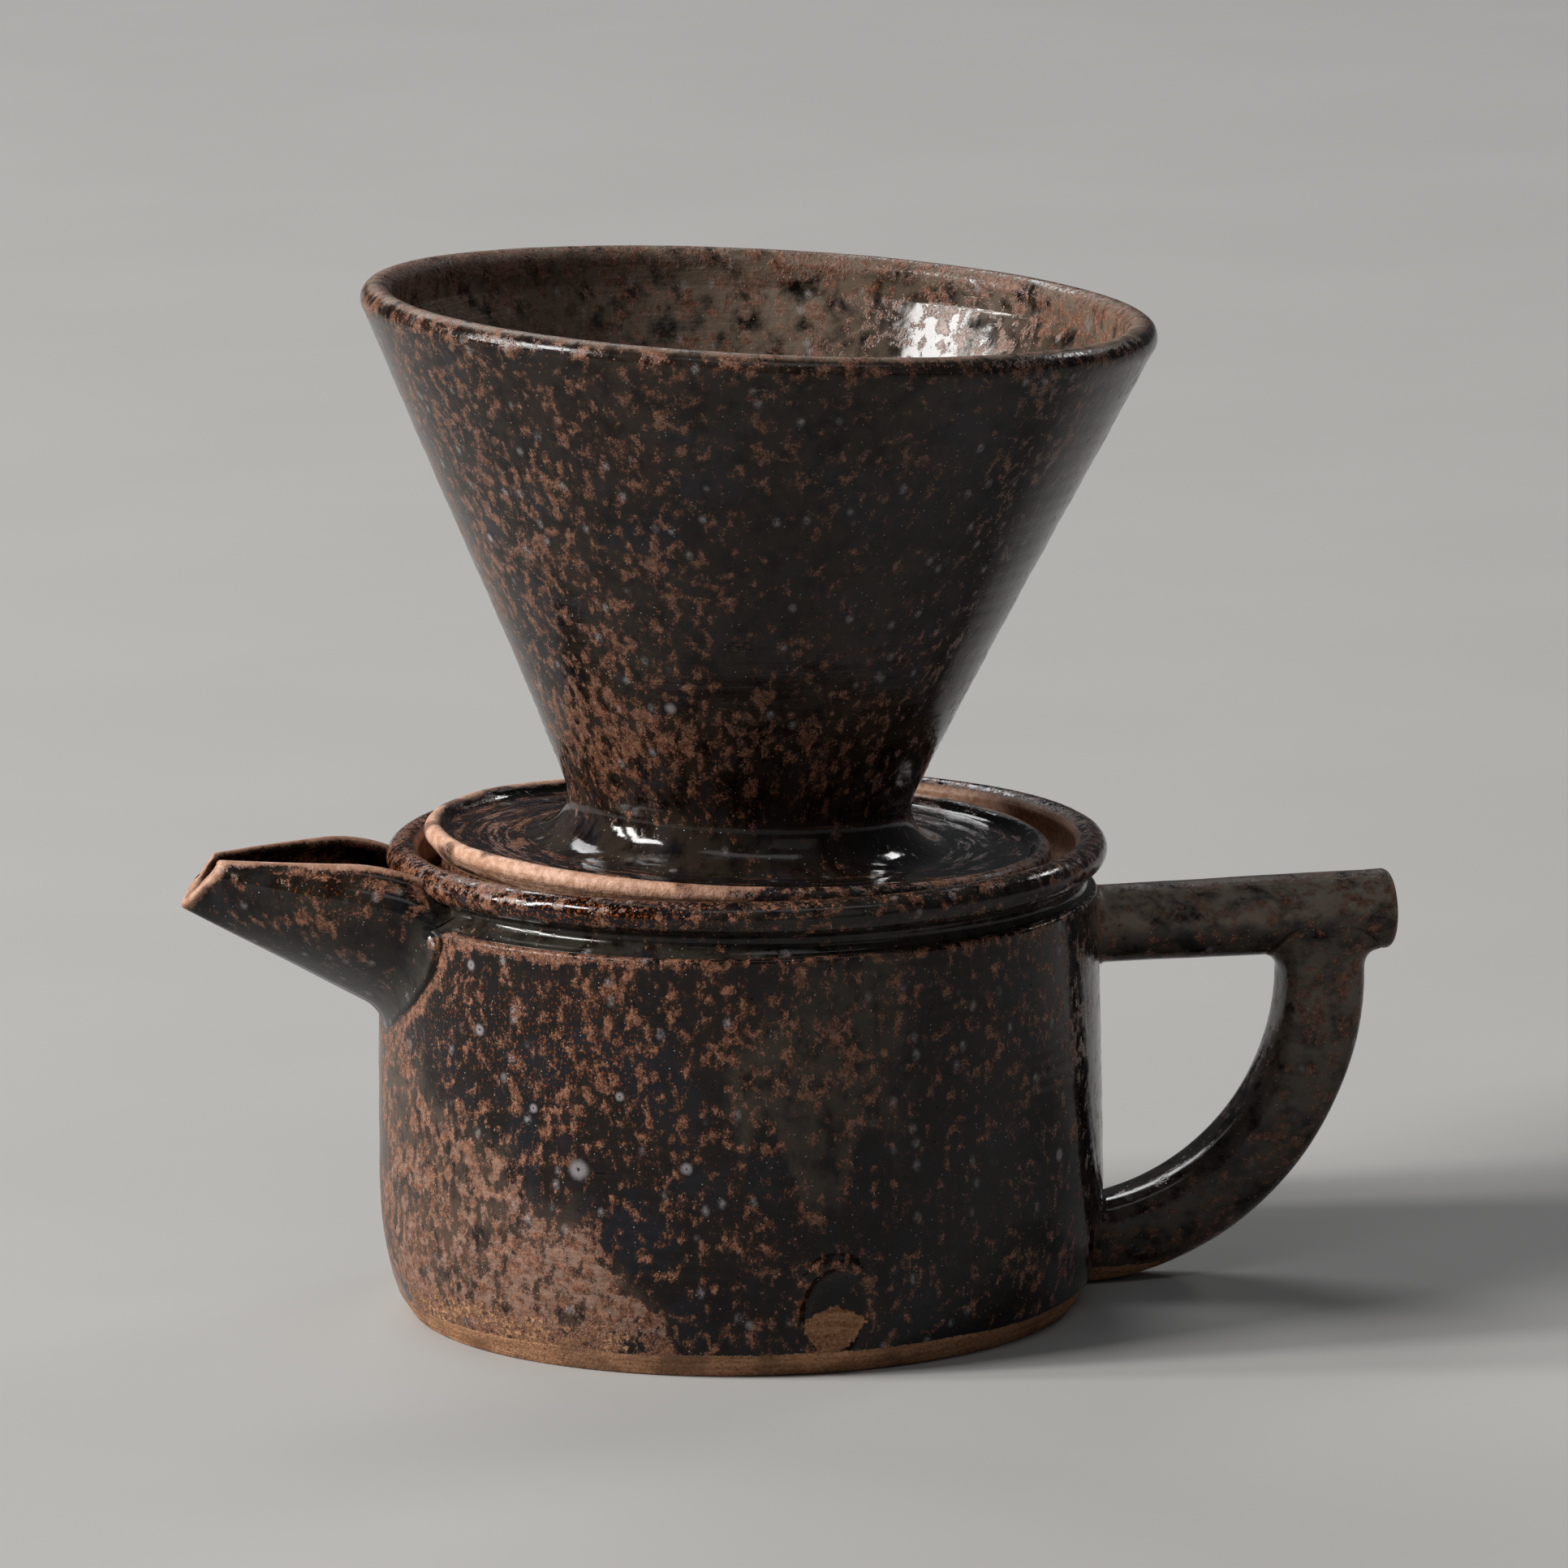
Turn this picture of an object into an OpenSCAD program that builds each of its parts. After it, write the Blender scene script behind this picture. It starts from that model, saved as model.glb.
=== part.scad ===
// Hand-thrown pour-over coffee set: a cone dripper that sits in the mouth of a
// spouted server pot. The pot stands on z = 0 with its axis on Z, the spout
// points along -X and the handle along +X. Millimetres.

/* [Pot] */
// Largest radius of the pot wall
pot_r = 54.9; // [52:0.1:58]
// Height of the shoulder edge, where the wall ends and the neck begins
shoulder_z = 63.8; // [60:0.1:68]
// Radius of the foot where it meets the table
foot_r = 50.6; // [48:0.1:52]
// Thickness of the pot wall
pot_wall_t = 4.7; // [4:0.1:5.5]
// Thickness of the floor
floor_t = 5.5; // [4:0.1:8]
// Radius of the rolled lip's bead
lip_bead_r = 2.5; // [2:0.1:3]
// Height of the bead's centre above the shoulder
lip_rise = 5.7; // [5:0.1:7]
// How far the lip sits off the pot's axis, towards the handle
lip_shift = 1.4; // [0:0.1:1.6]
// Inner radius of the ledge that carries the dripper
ledge_in_r = 41.8; // [38:0.1:43]

/* [Spout] */
// Distance from the pot's axis to the tip of the spout
spout_reach = 85; // [80:0.5:92]
// Height where the spout's keel leaves the wall
keel_root_z = 48.5; // [44:0.5:52]
// Height of the keel's end at the tip
keel_tip_z = 65.2; // [62:0.2:67]
// Height of the spout's level top edge
spout_top_z = 72.8; // [71:0.2:75]
// Thickness of the spout's slab wall
spout_t = 2.4; // [2:0.1:2.8]

/* [Handle] */
// Radius of the straight bar
bar_r = 6.2; // [5:0.1:7]
// Height of the bar's axis
bar_z = 55.2; // [52:0.1:56]
// Distance from the pot's axis to the bar's free end
bar_end_x = 102; // [98:0.5:112]
// Radius of the curved arm's section
arm_r = 6.8; // [6:0.1:7]
// Radius of the arm's quarter bend, on its centre line
arm_bend_r = 40.5; // [39:0.1:42]

/* [Dripper] */
// Lean of the whole dripper towards the handle, in degrees
dripper_lean = 3; // [0:0.25:3.5]
// Height of the saucer's dish above the table
dish_z = 71.3; // [71:0.1:73]
// Outer radius of the saucer
saucer_r = 47.4; // [46.5:0.1:47.6]
// Thickness of the saucer's plate
plate_t = 3.5; // [3:0.1:4]
// Outer radius of the neck, just above the saucer
neck_r = 27; // [24:0.5:30]
// Height of the cone from the dish to the centre of the rim bead
cone_h = 79.8; // [70:0.1:90]
// Radius of the rim bead's centre line
rim_r = 57.45; // [54:0.05:60]
// Radius of the rim bead
rim_bead_r = 2.4; // [2:0.1:3]
// Thickness of the cone's wall, measured level
cone_t = 3.8; // [3.4:0.1:4.5]
// Radius of the drip outlet
outlet_r = 10; // [6:0.5:12]

/* [Hidden] */
$fn = 96;

glaze = [0.13, 0.075, 0.055];
glaze_rust = [0.32, 0.17, 0.11];
bare_clay = [0.52, 0.36, 0.24];

// Pot outline
bevel_z = 3.6;
bevel_r = foot_r + 2.1;
belly_z = 20;
top_taper = 0.6;
bore_r = pot_r - pot_wall_t;
floor_r = foot_r - 4.6;
corner_z = 17;

// Collar and its bead
collar_r = 52.3;
collar_in_r = 50;
groove_r = 51.9;
lip_r = 52;
lip_z = shoulder_z + lip_rise;

// Ledge under the dripper
ledge_t = 2.6;
ledge_root_z = shoulder_z - 3.2;

// Spout
keel_root_r = pot_r + 1;
keel_slope = (keel_tip_z - keel_root_z) / (spout_reach - keel_root_r);
mouth_r = spout_reach - 6;
half_w_root = 18.9;
half_w_taper = 0.0886;
half_w_min = 3;
taper_from_r = 50;
widest_at = 0.8;
edge_tuck = 0.22;
spout_turns = 9;
spout_stations = 9;
spill_r = 9;
spill_top_z = 60.4;

// Handle
arm_x = 50.3;
arm_z = 46.5;
arm_stub_z = bar_z - 2.5;

// Blank thumb mark pressed in the front of the foot
thumb_r = 9;
thumb_depth = 1.5;
thumb_z = 9.2;
thumb_turn = -87.5;

// Dripper, in its own upright frame with z = 0 on the dish
neck_z = 6;
cone_top_z = cone_h - 3.3;
cone_top_r = rim_r + 0.95;
neck_fillet = 5;
cup_corner_z = 8;
saucer_bead_r = 1.7;
seat_in_r = 40;
seat_out_r = 44.8;

// Outer radius of the pot wall at height z
function wall_r(z) =
  z < bevel_z ? foot_r + (bevel_r - foot_r) * z / bevel_z :
  z < belly_z ? pot_r - (pot_r - bevel_r) * pow((belly_z - z) / (belly_z - bevel_z), 2) :
  pot_r - top_taper * pow((z - belly_z) / (shoulder_z - belly_z), 2);

wall_heights = [for (k = [0:5]) bevel_z + (belly_z - bevel_z) * k / 5,
  for (k = [1:5]) belly_z + (shoulder_z - belly_z) * k / 5];
wall_outline = concat([[foot_r, 0]], [for (z = wall_heights) [wall_r(z), z]]);

// Everything inside the pot's outer skin, for fitting pieces against it
module pot_body() {
  rotate_extrude() polygon(concat([[0, 0]], wall_outline, [[0, shoulder_z]]));
}

// Points of an arc of radius r about [x, y], from angle a to angle b
function arc(x, y, r, a, b) =
  [for (k = [0:8]) let (t = a + (b - a) * k / 8) [x + r * cos(t), y + r * sin(t)]];

// Outline of the collar's outside, from the shoulder up over the lip's bead
collar_outline = concat(
  [[collar_r, shoulder_z], [groove_r, shoulder_z + 1.6], [collar_r, lip_z - lip_bead_r + 0.2]],
  arc(lip_r, lip_z, lip_bead_r, -60, 150));

// Everything inside the collar's outer skin
module collar_body() {
  translate([lip_shift, 0, 0])
    rotate_extrude() polygon(concat([[0, shoulder_z]], collar_outline, [[0, lip_z + 1]]));
}

// Half-disc hole that lets the coffee through the wall into the spout
module spill_hole() {
  intersection() {
    translate([-pot_r - 5, 0, spill_top_z]) rotate([0, 90, 0]) cylinder(r = spill_r, h = 15);
    translate([-pot_r - 5, -spill_r, spill_top_z - spill_r]) cube([15, 2 * spill_r, spill_r]);
  }
}

// Shallow blank dimple in the front of the foot
module thumb_mark() {
  rotate([0, 0, thumb_turn])
    translate([pot_r - 0.4 + thumb_r - thumb_depth, 0, thumb_z]) sphere(thumb_r);
}

module pot_wall() {
  inner = concat([[bore_r, shoulder_z]],
    [for (a = [0:15:90]) [bore_r - (bore_r - floor_r) * (1 - cos(a)),
      corner_z - (corner_z - floor_t) * sin(a)]],
    [[floor_r, 0]]);
  color(glaze) difference() {
    rotate_extrude() polygon(concat(wall_outline, inner));
    spill_hole();
    thumb_mark();
  }
}

module pot_floor() {
  color(bare_clay) cylinder(r = floor_r, h = floor_t);
}

module pot_collar() {
  color(glaze_rust) translate([lip_shift, 0, 0])
    rotate_extrude() polygon(concat(collar_outline, [[collar_in_r, shoulder_z]]));
}

module pot_ledge() {
  color(glaze) rotate_extrude() polygon([
    [bore_r, ledge_root_z], [bore_r, shoulder_z],
    [ledge_in_r, shoulder_z], [ledge_in_r, shoulder_z - ledge_t]
  ]);
}

// Height of the spout's keel at distance r from the pot's axis
function keel_z(r) = keel_root_z + keel_slope * (r - keel_root_r);

// Height of the spout's top edge: level, and drawn down to the collar at the root
function edge_z(r) = spout_top_z - 2.8 * pow(max(0, (62 - r) / 12), 2);

// Half-width of the spout at distance r and share u of its height
function half_w(r, u) =
  let (w = max(half_w_min, half_w_root - half_w_taper * pow(max(0, r - taper_from_r), 1.5)))
  u < widest_at ? w * sin(90 * pow(u / widest_at, 0.85))
                : w * (1 - edge_tuck * pow((u - widest_at) / (1 - widest_at), 2));

// One U-shaped section, offset inwards by t, run up to lift above the edge
function section(r, t, lift) =
  let (low = keel_z(r) + t * 1.15, high = edge_z(r), h = high - low)
  concat(
    [for (k = [spout_turns:-1:0]) let (u = k / spout_turns)
      [-r, -max(0.35, half_w(r, u) - t), low + h * u + (k == spout_turns ? lift : 0)]],
    [for (k = [0:spout_turns]) let (u = k / spout_turns)
      [-r, max(0.35, half_w(r, u) - t), low + h * u + (k == spout_turns ? lift : 0)]]);

// Solid skinned over the sections between two distances from the axis
module spout_body(r_from, r_to, t, lift) {
  n = 2 * (spout_turns + 1);
  rings = [for (k = [0:spout_stations])
    section(r_from + (r_to - r_from) * k / spout_stations, t, lift)];
  points = [for (ring = rings) for (p = ring) p];
  sides = [for (k = [0:spout_stations - 1]) for (j = [0:n - 1])
    [k * n + j, k * n + (j + 1) % n, (k + 1) * n + (j + 1) % n, (k + 1) * n + j]];
  start = [[for (j = [n - 1:-1:0]) j]];
  end = [[for (j = [0:n - 1]) spout_stations * n + j]];
  polyhedron(points, concat(start, sides, end), convexity = 6);
}

// Cutter that slants the mouth back from the keel's end to the top edge
module mouth_cut() {
  slant = atan2(spout_reach - mouth_r, spout_top_z - keel_tip_z);
  translate([-spout_reach, 0, keel_tip_z]) rotate([0, slant, 0])
    translate([-20, -15, -12]) cube([20, 30, 40]);
}

module spout() {
  color(glaze) difference() {
    spout_body(pot_r - 6, spout_reach + 2, 0, 0);
    spout_body(pot_r - 8, spout_reach + 4, spout_t, 6);
    mouth_cut();
    pot_body();
    collar_body();
  }
}

module bar_rod() {
  translate([arm_x, 0, bar_z]) rotate([0, 90, 0]) cylinder(r = bar_r, h = bar_end_x - arm_x);
}

module handle_bar() {
  color(glaze_rust) difference() {
    bar_rod();
    pot_body();
  }
}

module handle_arm() {
  color(glaze) difference() {
    union() {
      translate([arm_x, 0, arm_z]) rotate([90, 0, 0]) rotate([0, 0, -90])
        rotate_extrude(angle = 90) translate([arm_bend_r, 0]) circle(arm_r);
      translate([arm_x + arm_bend_r, 0, arm_z]) cylinder(r = arm_r, h = arm_stub_z - arm_z);
    }
    bar_rod();
    pot_body();
    translate([0, -20, -20]) cube([120, 40, 20]);
  }
}

// Moves a shape from the dripper's own frame to its leaning place in the pot
module seated() {
  translate([0, 0, dish_z]) rotate([0, dripper_lean, 0]) children();
}

module dripper_cone() {
  slope = (cone_top_r - neck_r) / (cone_top_z - neck_z);
  fillet = arc(neck_r + neck_fillet, neck_fillet, neck_fillet, 270, 180);
  rim = arc(rim_r, cone_h, rim_bead_r, -50, 170);
  cup_r = neck_r - cone_t + slope * (cup_corner_z - neck_z);
  cup = [for (a = [0:15:90])
    [outlet_r + (cup_r - outlet_r) * cos(a), cup_corner_z * (1 - sin(a))]];
  color(glaze) seated() rotate_extrude() polygon(concat(
    fillet, [[cone_top_r, cone_top_z]], rim, [[cone_top_r - cone_t, cone_top_z]], cup));
}

module dripper_saucer() {
  bead_x = saucer_r - saucer_bead_r;
  color(glaze_rust) seated() rotate_extrude() polygon(concat(
    [[outlet_r, 0], [outlet_r, -plate_t], [seat_out_r, -plate_t]],
    arc(bead_x, 0, saucer_bead_r, -40, 180)));
}

// Level bearing ring under the leaning saucer, so the dripper sits firmly
module dripper_seat_ring() {
  color(bare_clay) difference() {
    translate([0, 0, shoulder_z]) cylinder(r = seat_out_r, h = 12);
    translate([0, 0, shoulder_z - 1]) cylinder(r = seat_in_r, h = 14);
    seated() translate([-60, -60, -plate_t]) cube([120, 120, 30]);
  }
}

pot_wall();
pot_floor();
pot_collar();
pot_ledge();
spout();
handle_bar();
handle_arm();
dripper_cone();
dripper_saucer();
dripper_seat_ring();
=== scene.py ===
"""Looks of the hand-thrown pour-over coffee set: a cone dripper on a spouted server pot.

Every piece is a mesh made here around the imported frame, in millimetres, and then scaled to
metres. Glaze features are painted on the vertices as named fields, and one glaze shader
turns those fields into flecks, veils, pools and bare clay.
"""

import math

import bmesh
import bpy
import numpy as np
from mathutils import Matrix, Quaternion, Vector


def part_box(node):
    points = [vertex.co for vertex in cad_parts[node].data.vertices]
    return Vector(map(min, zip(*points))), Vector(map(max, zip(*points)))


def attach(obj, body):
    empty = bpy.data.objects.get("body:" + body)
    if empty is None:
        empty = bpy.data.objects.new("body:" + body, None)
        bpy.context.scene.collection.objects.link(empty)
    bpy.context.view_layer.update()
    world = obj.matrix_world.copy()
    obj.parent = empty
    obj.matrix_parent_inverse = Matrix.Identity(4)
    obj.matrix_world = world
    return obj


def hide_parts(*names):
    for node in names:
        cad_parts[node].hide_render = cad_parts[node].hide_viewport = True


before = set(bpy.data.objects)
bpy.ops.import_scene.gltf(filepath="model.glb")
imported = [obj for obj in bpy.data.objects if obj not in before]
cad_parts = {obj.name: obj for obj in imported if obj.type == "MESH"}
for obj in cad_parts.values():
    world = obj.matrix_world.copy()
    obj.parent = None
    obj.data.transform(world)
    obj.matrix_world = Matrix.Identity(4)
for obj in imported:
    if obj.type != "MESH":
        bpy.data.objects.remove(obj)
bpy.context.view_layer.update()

MM = 0.001
FIELDS = ("rust", "bare", "grey", "amber", "tan", "dull")


def box_mm(node):
    low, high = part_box(node)
    return np.array(low) / MM, np.array(high) / MM


# Sizes from the frame, in millimetres
wall_high = box_mm("pot_wall")[1]
pot_r = wall_high[1]
shoulder_z = wall_high[2]
floor_high = box_mm("pot_floor")[1]
floor_r = floor_high[1]
floor_t = floor_high[2]
ledge_low, ledge_high = box_mm("pot_ledge")
bore_r = ledge_high[1]
collar_low, collar_high = box_mm("pot_collar")
lip_shift = (collar_low[0] + collar_high[0]) / 2
lip_top_z = collar_high[2]
spout_low, spout_high = box_mm("spout")
spout_reach = -spout_low[0]
spout_top_z = spout_high[2]
bar_low, bar_high = box_mm("handle_bar")
bar_r = bar_high[1]
bar_z = (bar_low[2] + bar_high[2]) / 2
bar_end_x = bar_high[0]
arm_high = box_mm("handle_arm")[1]
arm_r = arm_high[1]
arm_far_x = arm_high[0] - arm_r
seat_high = box_mm("dripper_seat_ring")[1]
seat_out_r = seat_high[1]

# Pot
foot_r = floor_r + 4.6
bevel_z = 3.6
bevel_r = foot_r + 2.1
belly_z = 20.0
top_taper = 0.6
corner_z = 17.0
lip_bead_r = 2.5
lip_r = (collar_high[1] - collar_low[1]) / 2 - lip_bead_r
lip_z = lip_top_z - lip_bead_r
collar_in_r = 50.0
ledge_in_r = 41.8
ledge_t = 2.6

# Spout
keel_root_r = pot_r + 1
keel_root_z = 48.5
keel_tip_z = 65.2
mouth_back = 6.0
spout_root_w = 18.9
spout_wall = 2.4
spout_mouth_wall = 1.5
spill_r = 9.0
spill_top_z = 60.4

# Handle
arm_root_x = 50.3
arm_bend_z = 46.5

# Dripper, in its own upright frame with z = 0 on the dish
lean = math.radians(3)
rim_tilt = math.radians(0.7)
dish_z = 71.3
saucer_r = 47.4
saucer_bead_r = 1.45
plate_t = 3.5
neck_r = 26.7
neck_fillet = 6.2
neck_lean = math.radians(23)
neck_z = neck_fillet * (1 + math.sin(neck_lean))
flare_r = neck_r + neck_fillet * math.cos(neck_lean)
cone_h = 79.8
rim_r = 57.45
rim_bead_r = 2.4
cone_top_z = cone_h - 3.3
cone_top_r = rim_r + 0.95
cone_t = 3.8
cone_slope = (cone_top_r - neck_r) / (cone_top_z - neck_z)
outlet_r = 10.0

# The side of the pot that faces the camera, as an angle round Z
front = math.radians(-102)
thumb_angle = math.radians(-87.5)
thumb_z = 10.2
thumb_r = 5.5
thumb_squash = 0.78


# ---- noise and small maths


def smooth(low, high, value):
    t = np.clip((value - low) / (high - low), 0, 1)
    return t * t * (3 - 2 * t)


def value_noise(points, seed):
    """Smooth noise from -1 to 1 on a lattice of unit cells."""
    cell = np.floor(points).astype(np.int64)
    part = points - cell
    part = part * part * (3 - 2 * part)
    total = np.zeros(len(points))
    for corner in range(8):
        step = np.array([corner & 1, corner >> 1 & 1, corner >> 2 & 1])
        at = cell + step
        # a hash of the lattice corner gives its value
        key = at[:, 0] * 374761393 + at[:, 1] * 668265263 + at[:, 2] * 1274126177
        key = (key + seed * 974711) & 0xFFFFFFFF
        key = ((key ^ (key >> 13)) * 1103515245) & 0xFFFFFFFF
        key = key ^ (key >> 16)
        weight = np.prod(np.where(step, part, 1 - part), axis=1)
        total += weight * (key / 0x7FFFFFFF - 1)
    return total


def fractal(points, size, octaves, seed):
    """Layered noise, about -1 to 1, whose largest features are size wide."""
    total = np.zeros(len(points))
    for k in range(octaves):
        total += value_noise(points * (2**k / size) + 31.7 * k, seed + k) / 2**k
    return total / 1.5


def hill(value, middle, width):
    """1 at the middle, falling to 0 over about twice the width."""
    return np.exp(-(((value - middle) / width) ** 2))


def span(value, low, high, soft):
    """1 between low and high, with soft ends."""
    return smooth(low - soft, low + soft, value) * smooth(high + soft, high - soft, value)


def patch(a, z, a_from, a_to, z_from, z_to, a_soft, z_soft):
    """Soft-edged rectangle on the skin."""
    return span(a, a_from, a_to, a_soft) * span(z, z_from, z_to, z_soft)


def radius_of(points):
    return np.hypot(points[:, 0], points[:, 1])


def angle_of(points):
    return np.arctan2(points[:, 1], points[:, 0])


def degrees_from_front(points):
    """Angle round Z from the camera's side, in degrees, negative to the left."""
    turn = angle_of(points) - front
    return np.degrees((turn + math.pi) % math.tau - math.pi)


def cylinder(points):
    """Radius, degrees from the front, and height."""
    return radius_of(points), degrees_from_front(points), points[:, 2]


def fillet(gap, radius):
    """How far a surface flares outwards at a gap from the surface it grows out of."""
    reach = np.clip(radius - gap, 0, radius)
    return radius - np.sqrt(np.maximum(radius**2 - reach**2, 0))


# ---- meshes


# Half of a corner's angle from which it counts as straight, and steps round the large skins
STRAIGHT = 1.55
TURNS = 432


def rounded(corners, closed=True):
    """Outline through (r, z, rounding) corners, with an arc at each rounded one."""
    result = []
    count = len(corners)
    for k, (r, z, rounding) in enumerate(corners):
        here = np.array([r, z], float)
        if rounding == 0 or (not closed and k in (0, count - 1)):
            result.append(here)
            continue
        back = np.array(corners[k - 1][:2], float) - here
        ahead = np.array(corners[(k + 1) % count][:2], float) - here
        back_length, ahead_length = np.linalg.norm(back), np.linalg.norm(ahead)
        back /= back_length
        ahead /= ahead_length
        half = math.acos(float(np.clip(back @ ahead, -1, 1))) / 2
        if half > STRAIGHT:
            result.append(here)
            continue
        run = min(rounding / math.tan(half), 0.48 * back_length, 0.48 * ahead_length)
        bisector = (back + ahead) / np.linalg.norm(back + ahead)
        centre = here + bisector * run / math.cos(half)
        start, end = here + back * run - centre, here + ahead * run - centre
        turn = math.atan2(start[0] * end[1] - start[1] * end[0], start @ end)
        sideways = np.array([-start[1], start[0]])
        for angle in turn * np.arange(9) / 8:
            result.append(centre + math.cos(angle) * start + math.sin(angle) * sideways)
    return np.array(result)


def arc(x, z, radius, start, end, steps=10):
    """Corners along an arc, between two angles in degrees, with no rounding of their own."""
    angles = np.radians(np.linspace(start, end, steps + 1))
    return [(x + radius * math.cos(a), z + radius * math.sin(a), 0) for a in angles]


def cup_corners(out_r, in_r, top_z, low_z):
    """Corners of a quarter ellipse, from an upright wall down to a floor."""
    angles = np.radians(np.arange(0, 91, 6))
    return [
        (in_r + (out_r - in_r) * math.cos(a), top_z - (top_z - low_z) * math.sin(a), 0)
        for a in angles
    ]


def finer(points, step, closed=True):
    """The same outline with no edge longer than step."""
    ends = np.roll(points, -1, axis=0) if closed else points[1:]
    starts = points if closed else points[:-1]
    result = []
    for start, end in zip(starts, ends):
        pieces = max(1, math.ceil(np.linalg.norm(end - start) / step))
        result += [start + (end - start) * k / pieces for k in range(pieces)]
    if not closed:
        result.append(points[-1])
    return np.array(result)


def orient(outline):
    """The outline turned so that it runs anticlockwise, which puts its outside outwards."""
    r, z = outline.T
    area = (r * np.roll(z, -1) - np.roll(r, -1) * z).sum()
    return outline if area > 0 else outline[::-1]


def revolve(outline, turns, closed=True):
    """Points, normals and quads of an outline swept round Z, outside going up."""
    ahead = np.roll(outline, -1, axis=0)
    behind = np.roll(outline, 1, axis=0)
    if not closed:
        ahead[-1], behind[0] = outline[-1], outline[0]
    along = ahead - behind
    along /= np.maximum(np.linalg.norm(along, axis=1, keepdims=True), 1e-9)
    angle = np.arange(turns) * math.tau / turns
    cos, sin = np.cos(angle), np.sin(angle)
    r, z = outline[:, :1], outline[:, 1:]
    points = np.stack([r * cos, r * sin, z + 0 * cos], axis=2).reshape(-1, 3)
    out, up = along[:, 1:], -along[:, :1]
    normals = np.stack([out * cos, out * sin, up + 0 * cos], axis=2).reshape(-1, 3)
    return points, normals, grid_faces(len(outline), turns, closed)


def turned(corners, step, turns=TURNS, closed=True):
    """Skin turned on the wheel: a rounded outline with edges up to step long, swept round Z."""
    outline = finer(rounded(corners, closed), step, closed)
    return revolve(orient(outline) if closed else outline, turns, closed)


def grid_faces(rows, columns, wrap_rows=False):
    """Quads of a grid whose columns wrap round."""
    i = np.arange(rows if wrap_rows else rows - 1)[:, None]
    j = np.arange(columns)[None, :]
    i_next, j_next = (i + 1) % rows, (j + 1) % columns
    corners = (i, j), (i, j_next), (i_next, j_next), (i_next, j)
    return np.stack([a * columns + b for a, b in corners], axis=2).reshape(-1, 4).tolist()


def new_object(name, data):
    made = bpy.data.objects.new(name, data)
    bpy.context.scene.collection.objects.link(made)
    return made


def make_mesh(name, points, faces, merge=2e-6, turn_out=False):
    """Smooth-shaded mesh object from points in millimetres. Points that meet are merged."""
    mesh = bpy.data.meshes.new(name)
    mesh.from_pydata((points * MM).tolist(), [], faces)
    work = bmesh.new()
    work.from_mesh(mesh)
    bmesh.ops.remove_doubles(work, verts=work.verts, dist=merge)
    bmesh.ops.dissolve_degenerate(work, edges=work.edges, dist=merge / 2)
    if turn_out:
        bmesh.ops.recalc_face_normals(work, faces=work.faces)
    work.to_mesh(mesh)
    work.free()
    mesh.shade_smooth()
    return new_object(name, mesh)


def vertices_mm(piece):
    points = np.empty(len(piece.data.vertices) * 3, np.float32)
    piece.data.vertices.foreach_get("co", points)
    return points.reshape(-1, 3).astype(float) / MM


def paint(piece, grain, **fields):
    """Writes the glaze fields and the grain coordinates on the vertices."""
    mesh = piece.data
    attribute = mesh.attributes.new("grain", "FLOAT_VECTOR", "POINT")
    attribute.data.foreach_set("vector", grain.astype(np.float32).ravel())
    for name in FIELDS:
        values = np.broadcast_to(fields.get(name, 0.0), len(mesh.vertices))
        attribute = mesh.attributes.new(name, "FLOAT", "POINT")
        attribute.data.foreach_set("value", np.clip(values, 0, 1).astype(np.float32))


def tilted(points):
    """From the dripper's own frame to its leaning place in the pot."""
    x, y, z = points.T
    across, up = x * math.cos(lean) + z * math.sin(lean), z * math.cos(lean) - x * math.sin(lean)
    return np.stack([across, y, up + dish_z], axis=1)


def untilted(points):
    x, y, z = points.T
    z = z - dish_z
    across, up = x * math.cos(lean) - z * math.sin(lean), x * math.sin(lean) + z * math.cos(lean)
    return np.stack([across, y, up], axis=1)


def round_grain(points, along, radius):
    """Grain that runs along a revolved skin: slow along it, quick round it."""
    angle = angle_of(points)
    return np.stack([radius * np.cos(angle), radius * np.sin(angle), along], axis=1)


def throwing_rings(points, pitch, depth, seed):
    """Height of the faint spiral ridges that fingers leave on the wheel."""
    angle = angle_of(points)
    drift = fractal(points, 30, 2, seed)
    phase = points[:, 2] / pitch + angle / math.tau + 0.9 * drift
    strength = 0.55 + 0.45 * fractal(points, 22, 2, seed + 5)
    return depth * strength * np.sin(math.tau * phase)


# ---- pot


def wall_radius(z):
    """Outer radius of the pot wall at height z."""
    foot = foot_r + (bevel_r - foot_r) * z / bevel_z
    belly = pot_r - (pot_r - bevel_r) * ((belly_z - z) / (belly_z - bevel_z)) ** 2
    top = pot_r - top_taper * ((z - belly_z) / (shoulder_z - belly_z)) ** 2
    return np.where(z < bevel_z, foot, np.where(z < belly_z, belly, top))


def thumb_offset(points):
    """Distance from the middle of the thumb mark, along the skin."""
    angle = angle_of(points) - thumb_angle
    across = ((angle + math.pi) % math.tau - math.pi) * pot_r
    outside = radius_of(points) > bore_r + 1
    return np.where(outside, np.hypot(across, (points[:, 2] - thumb_z) * thumb_squash), 99.0)


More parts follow.
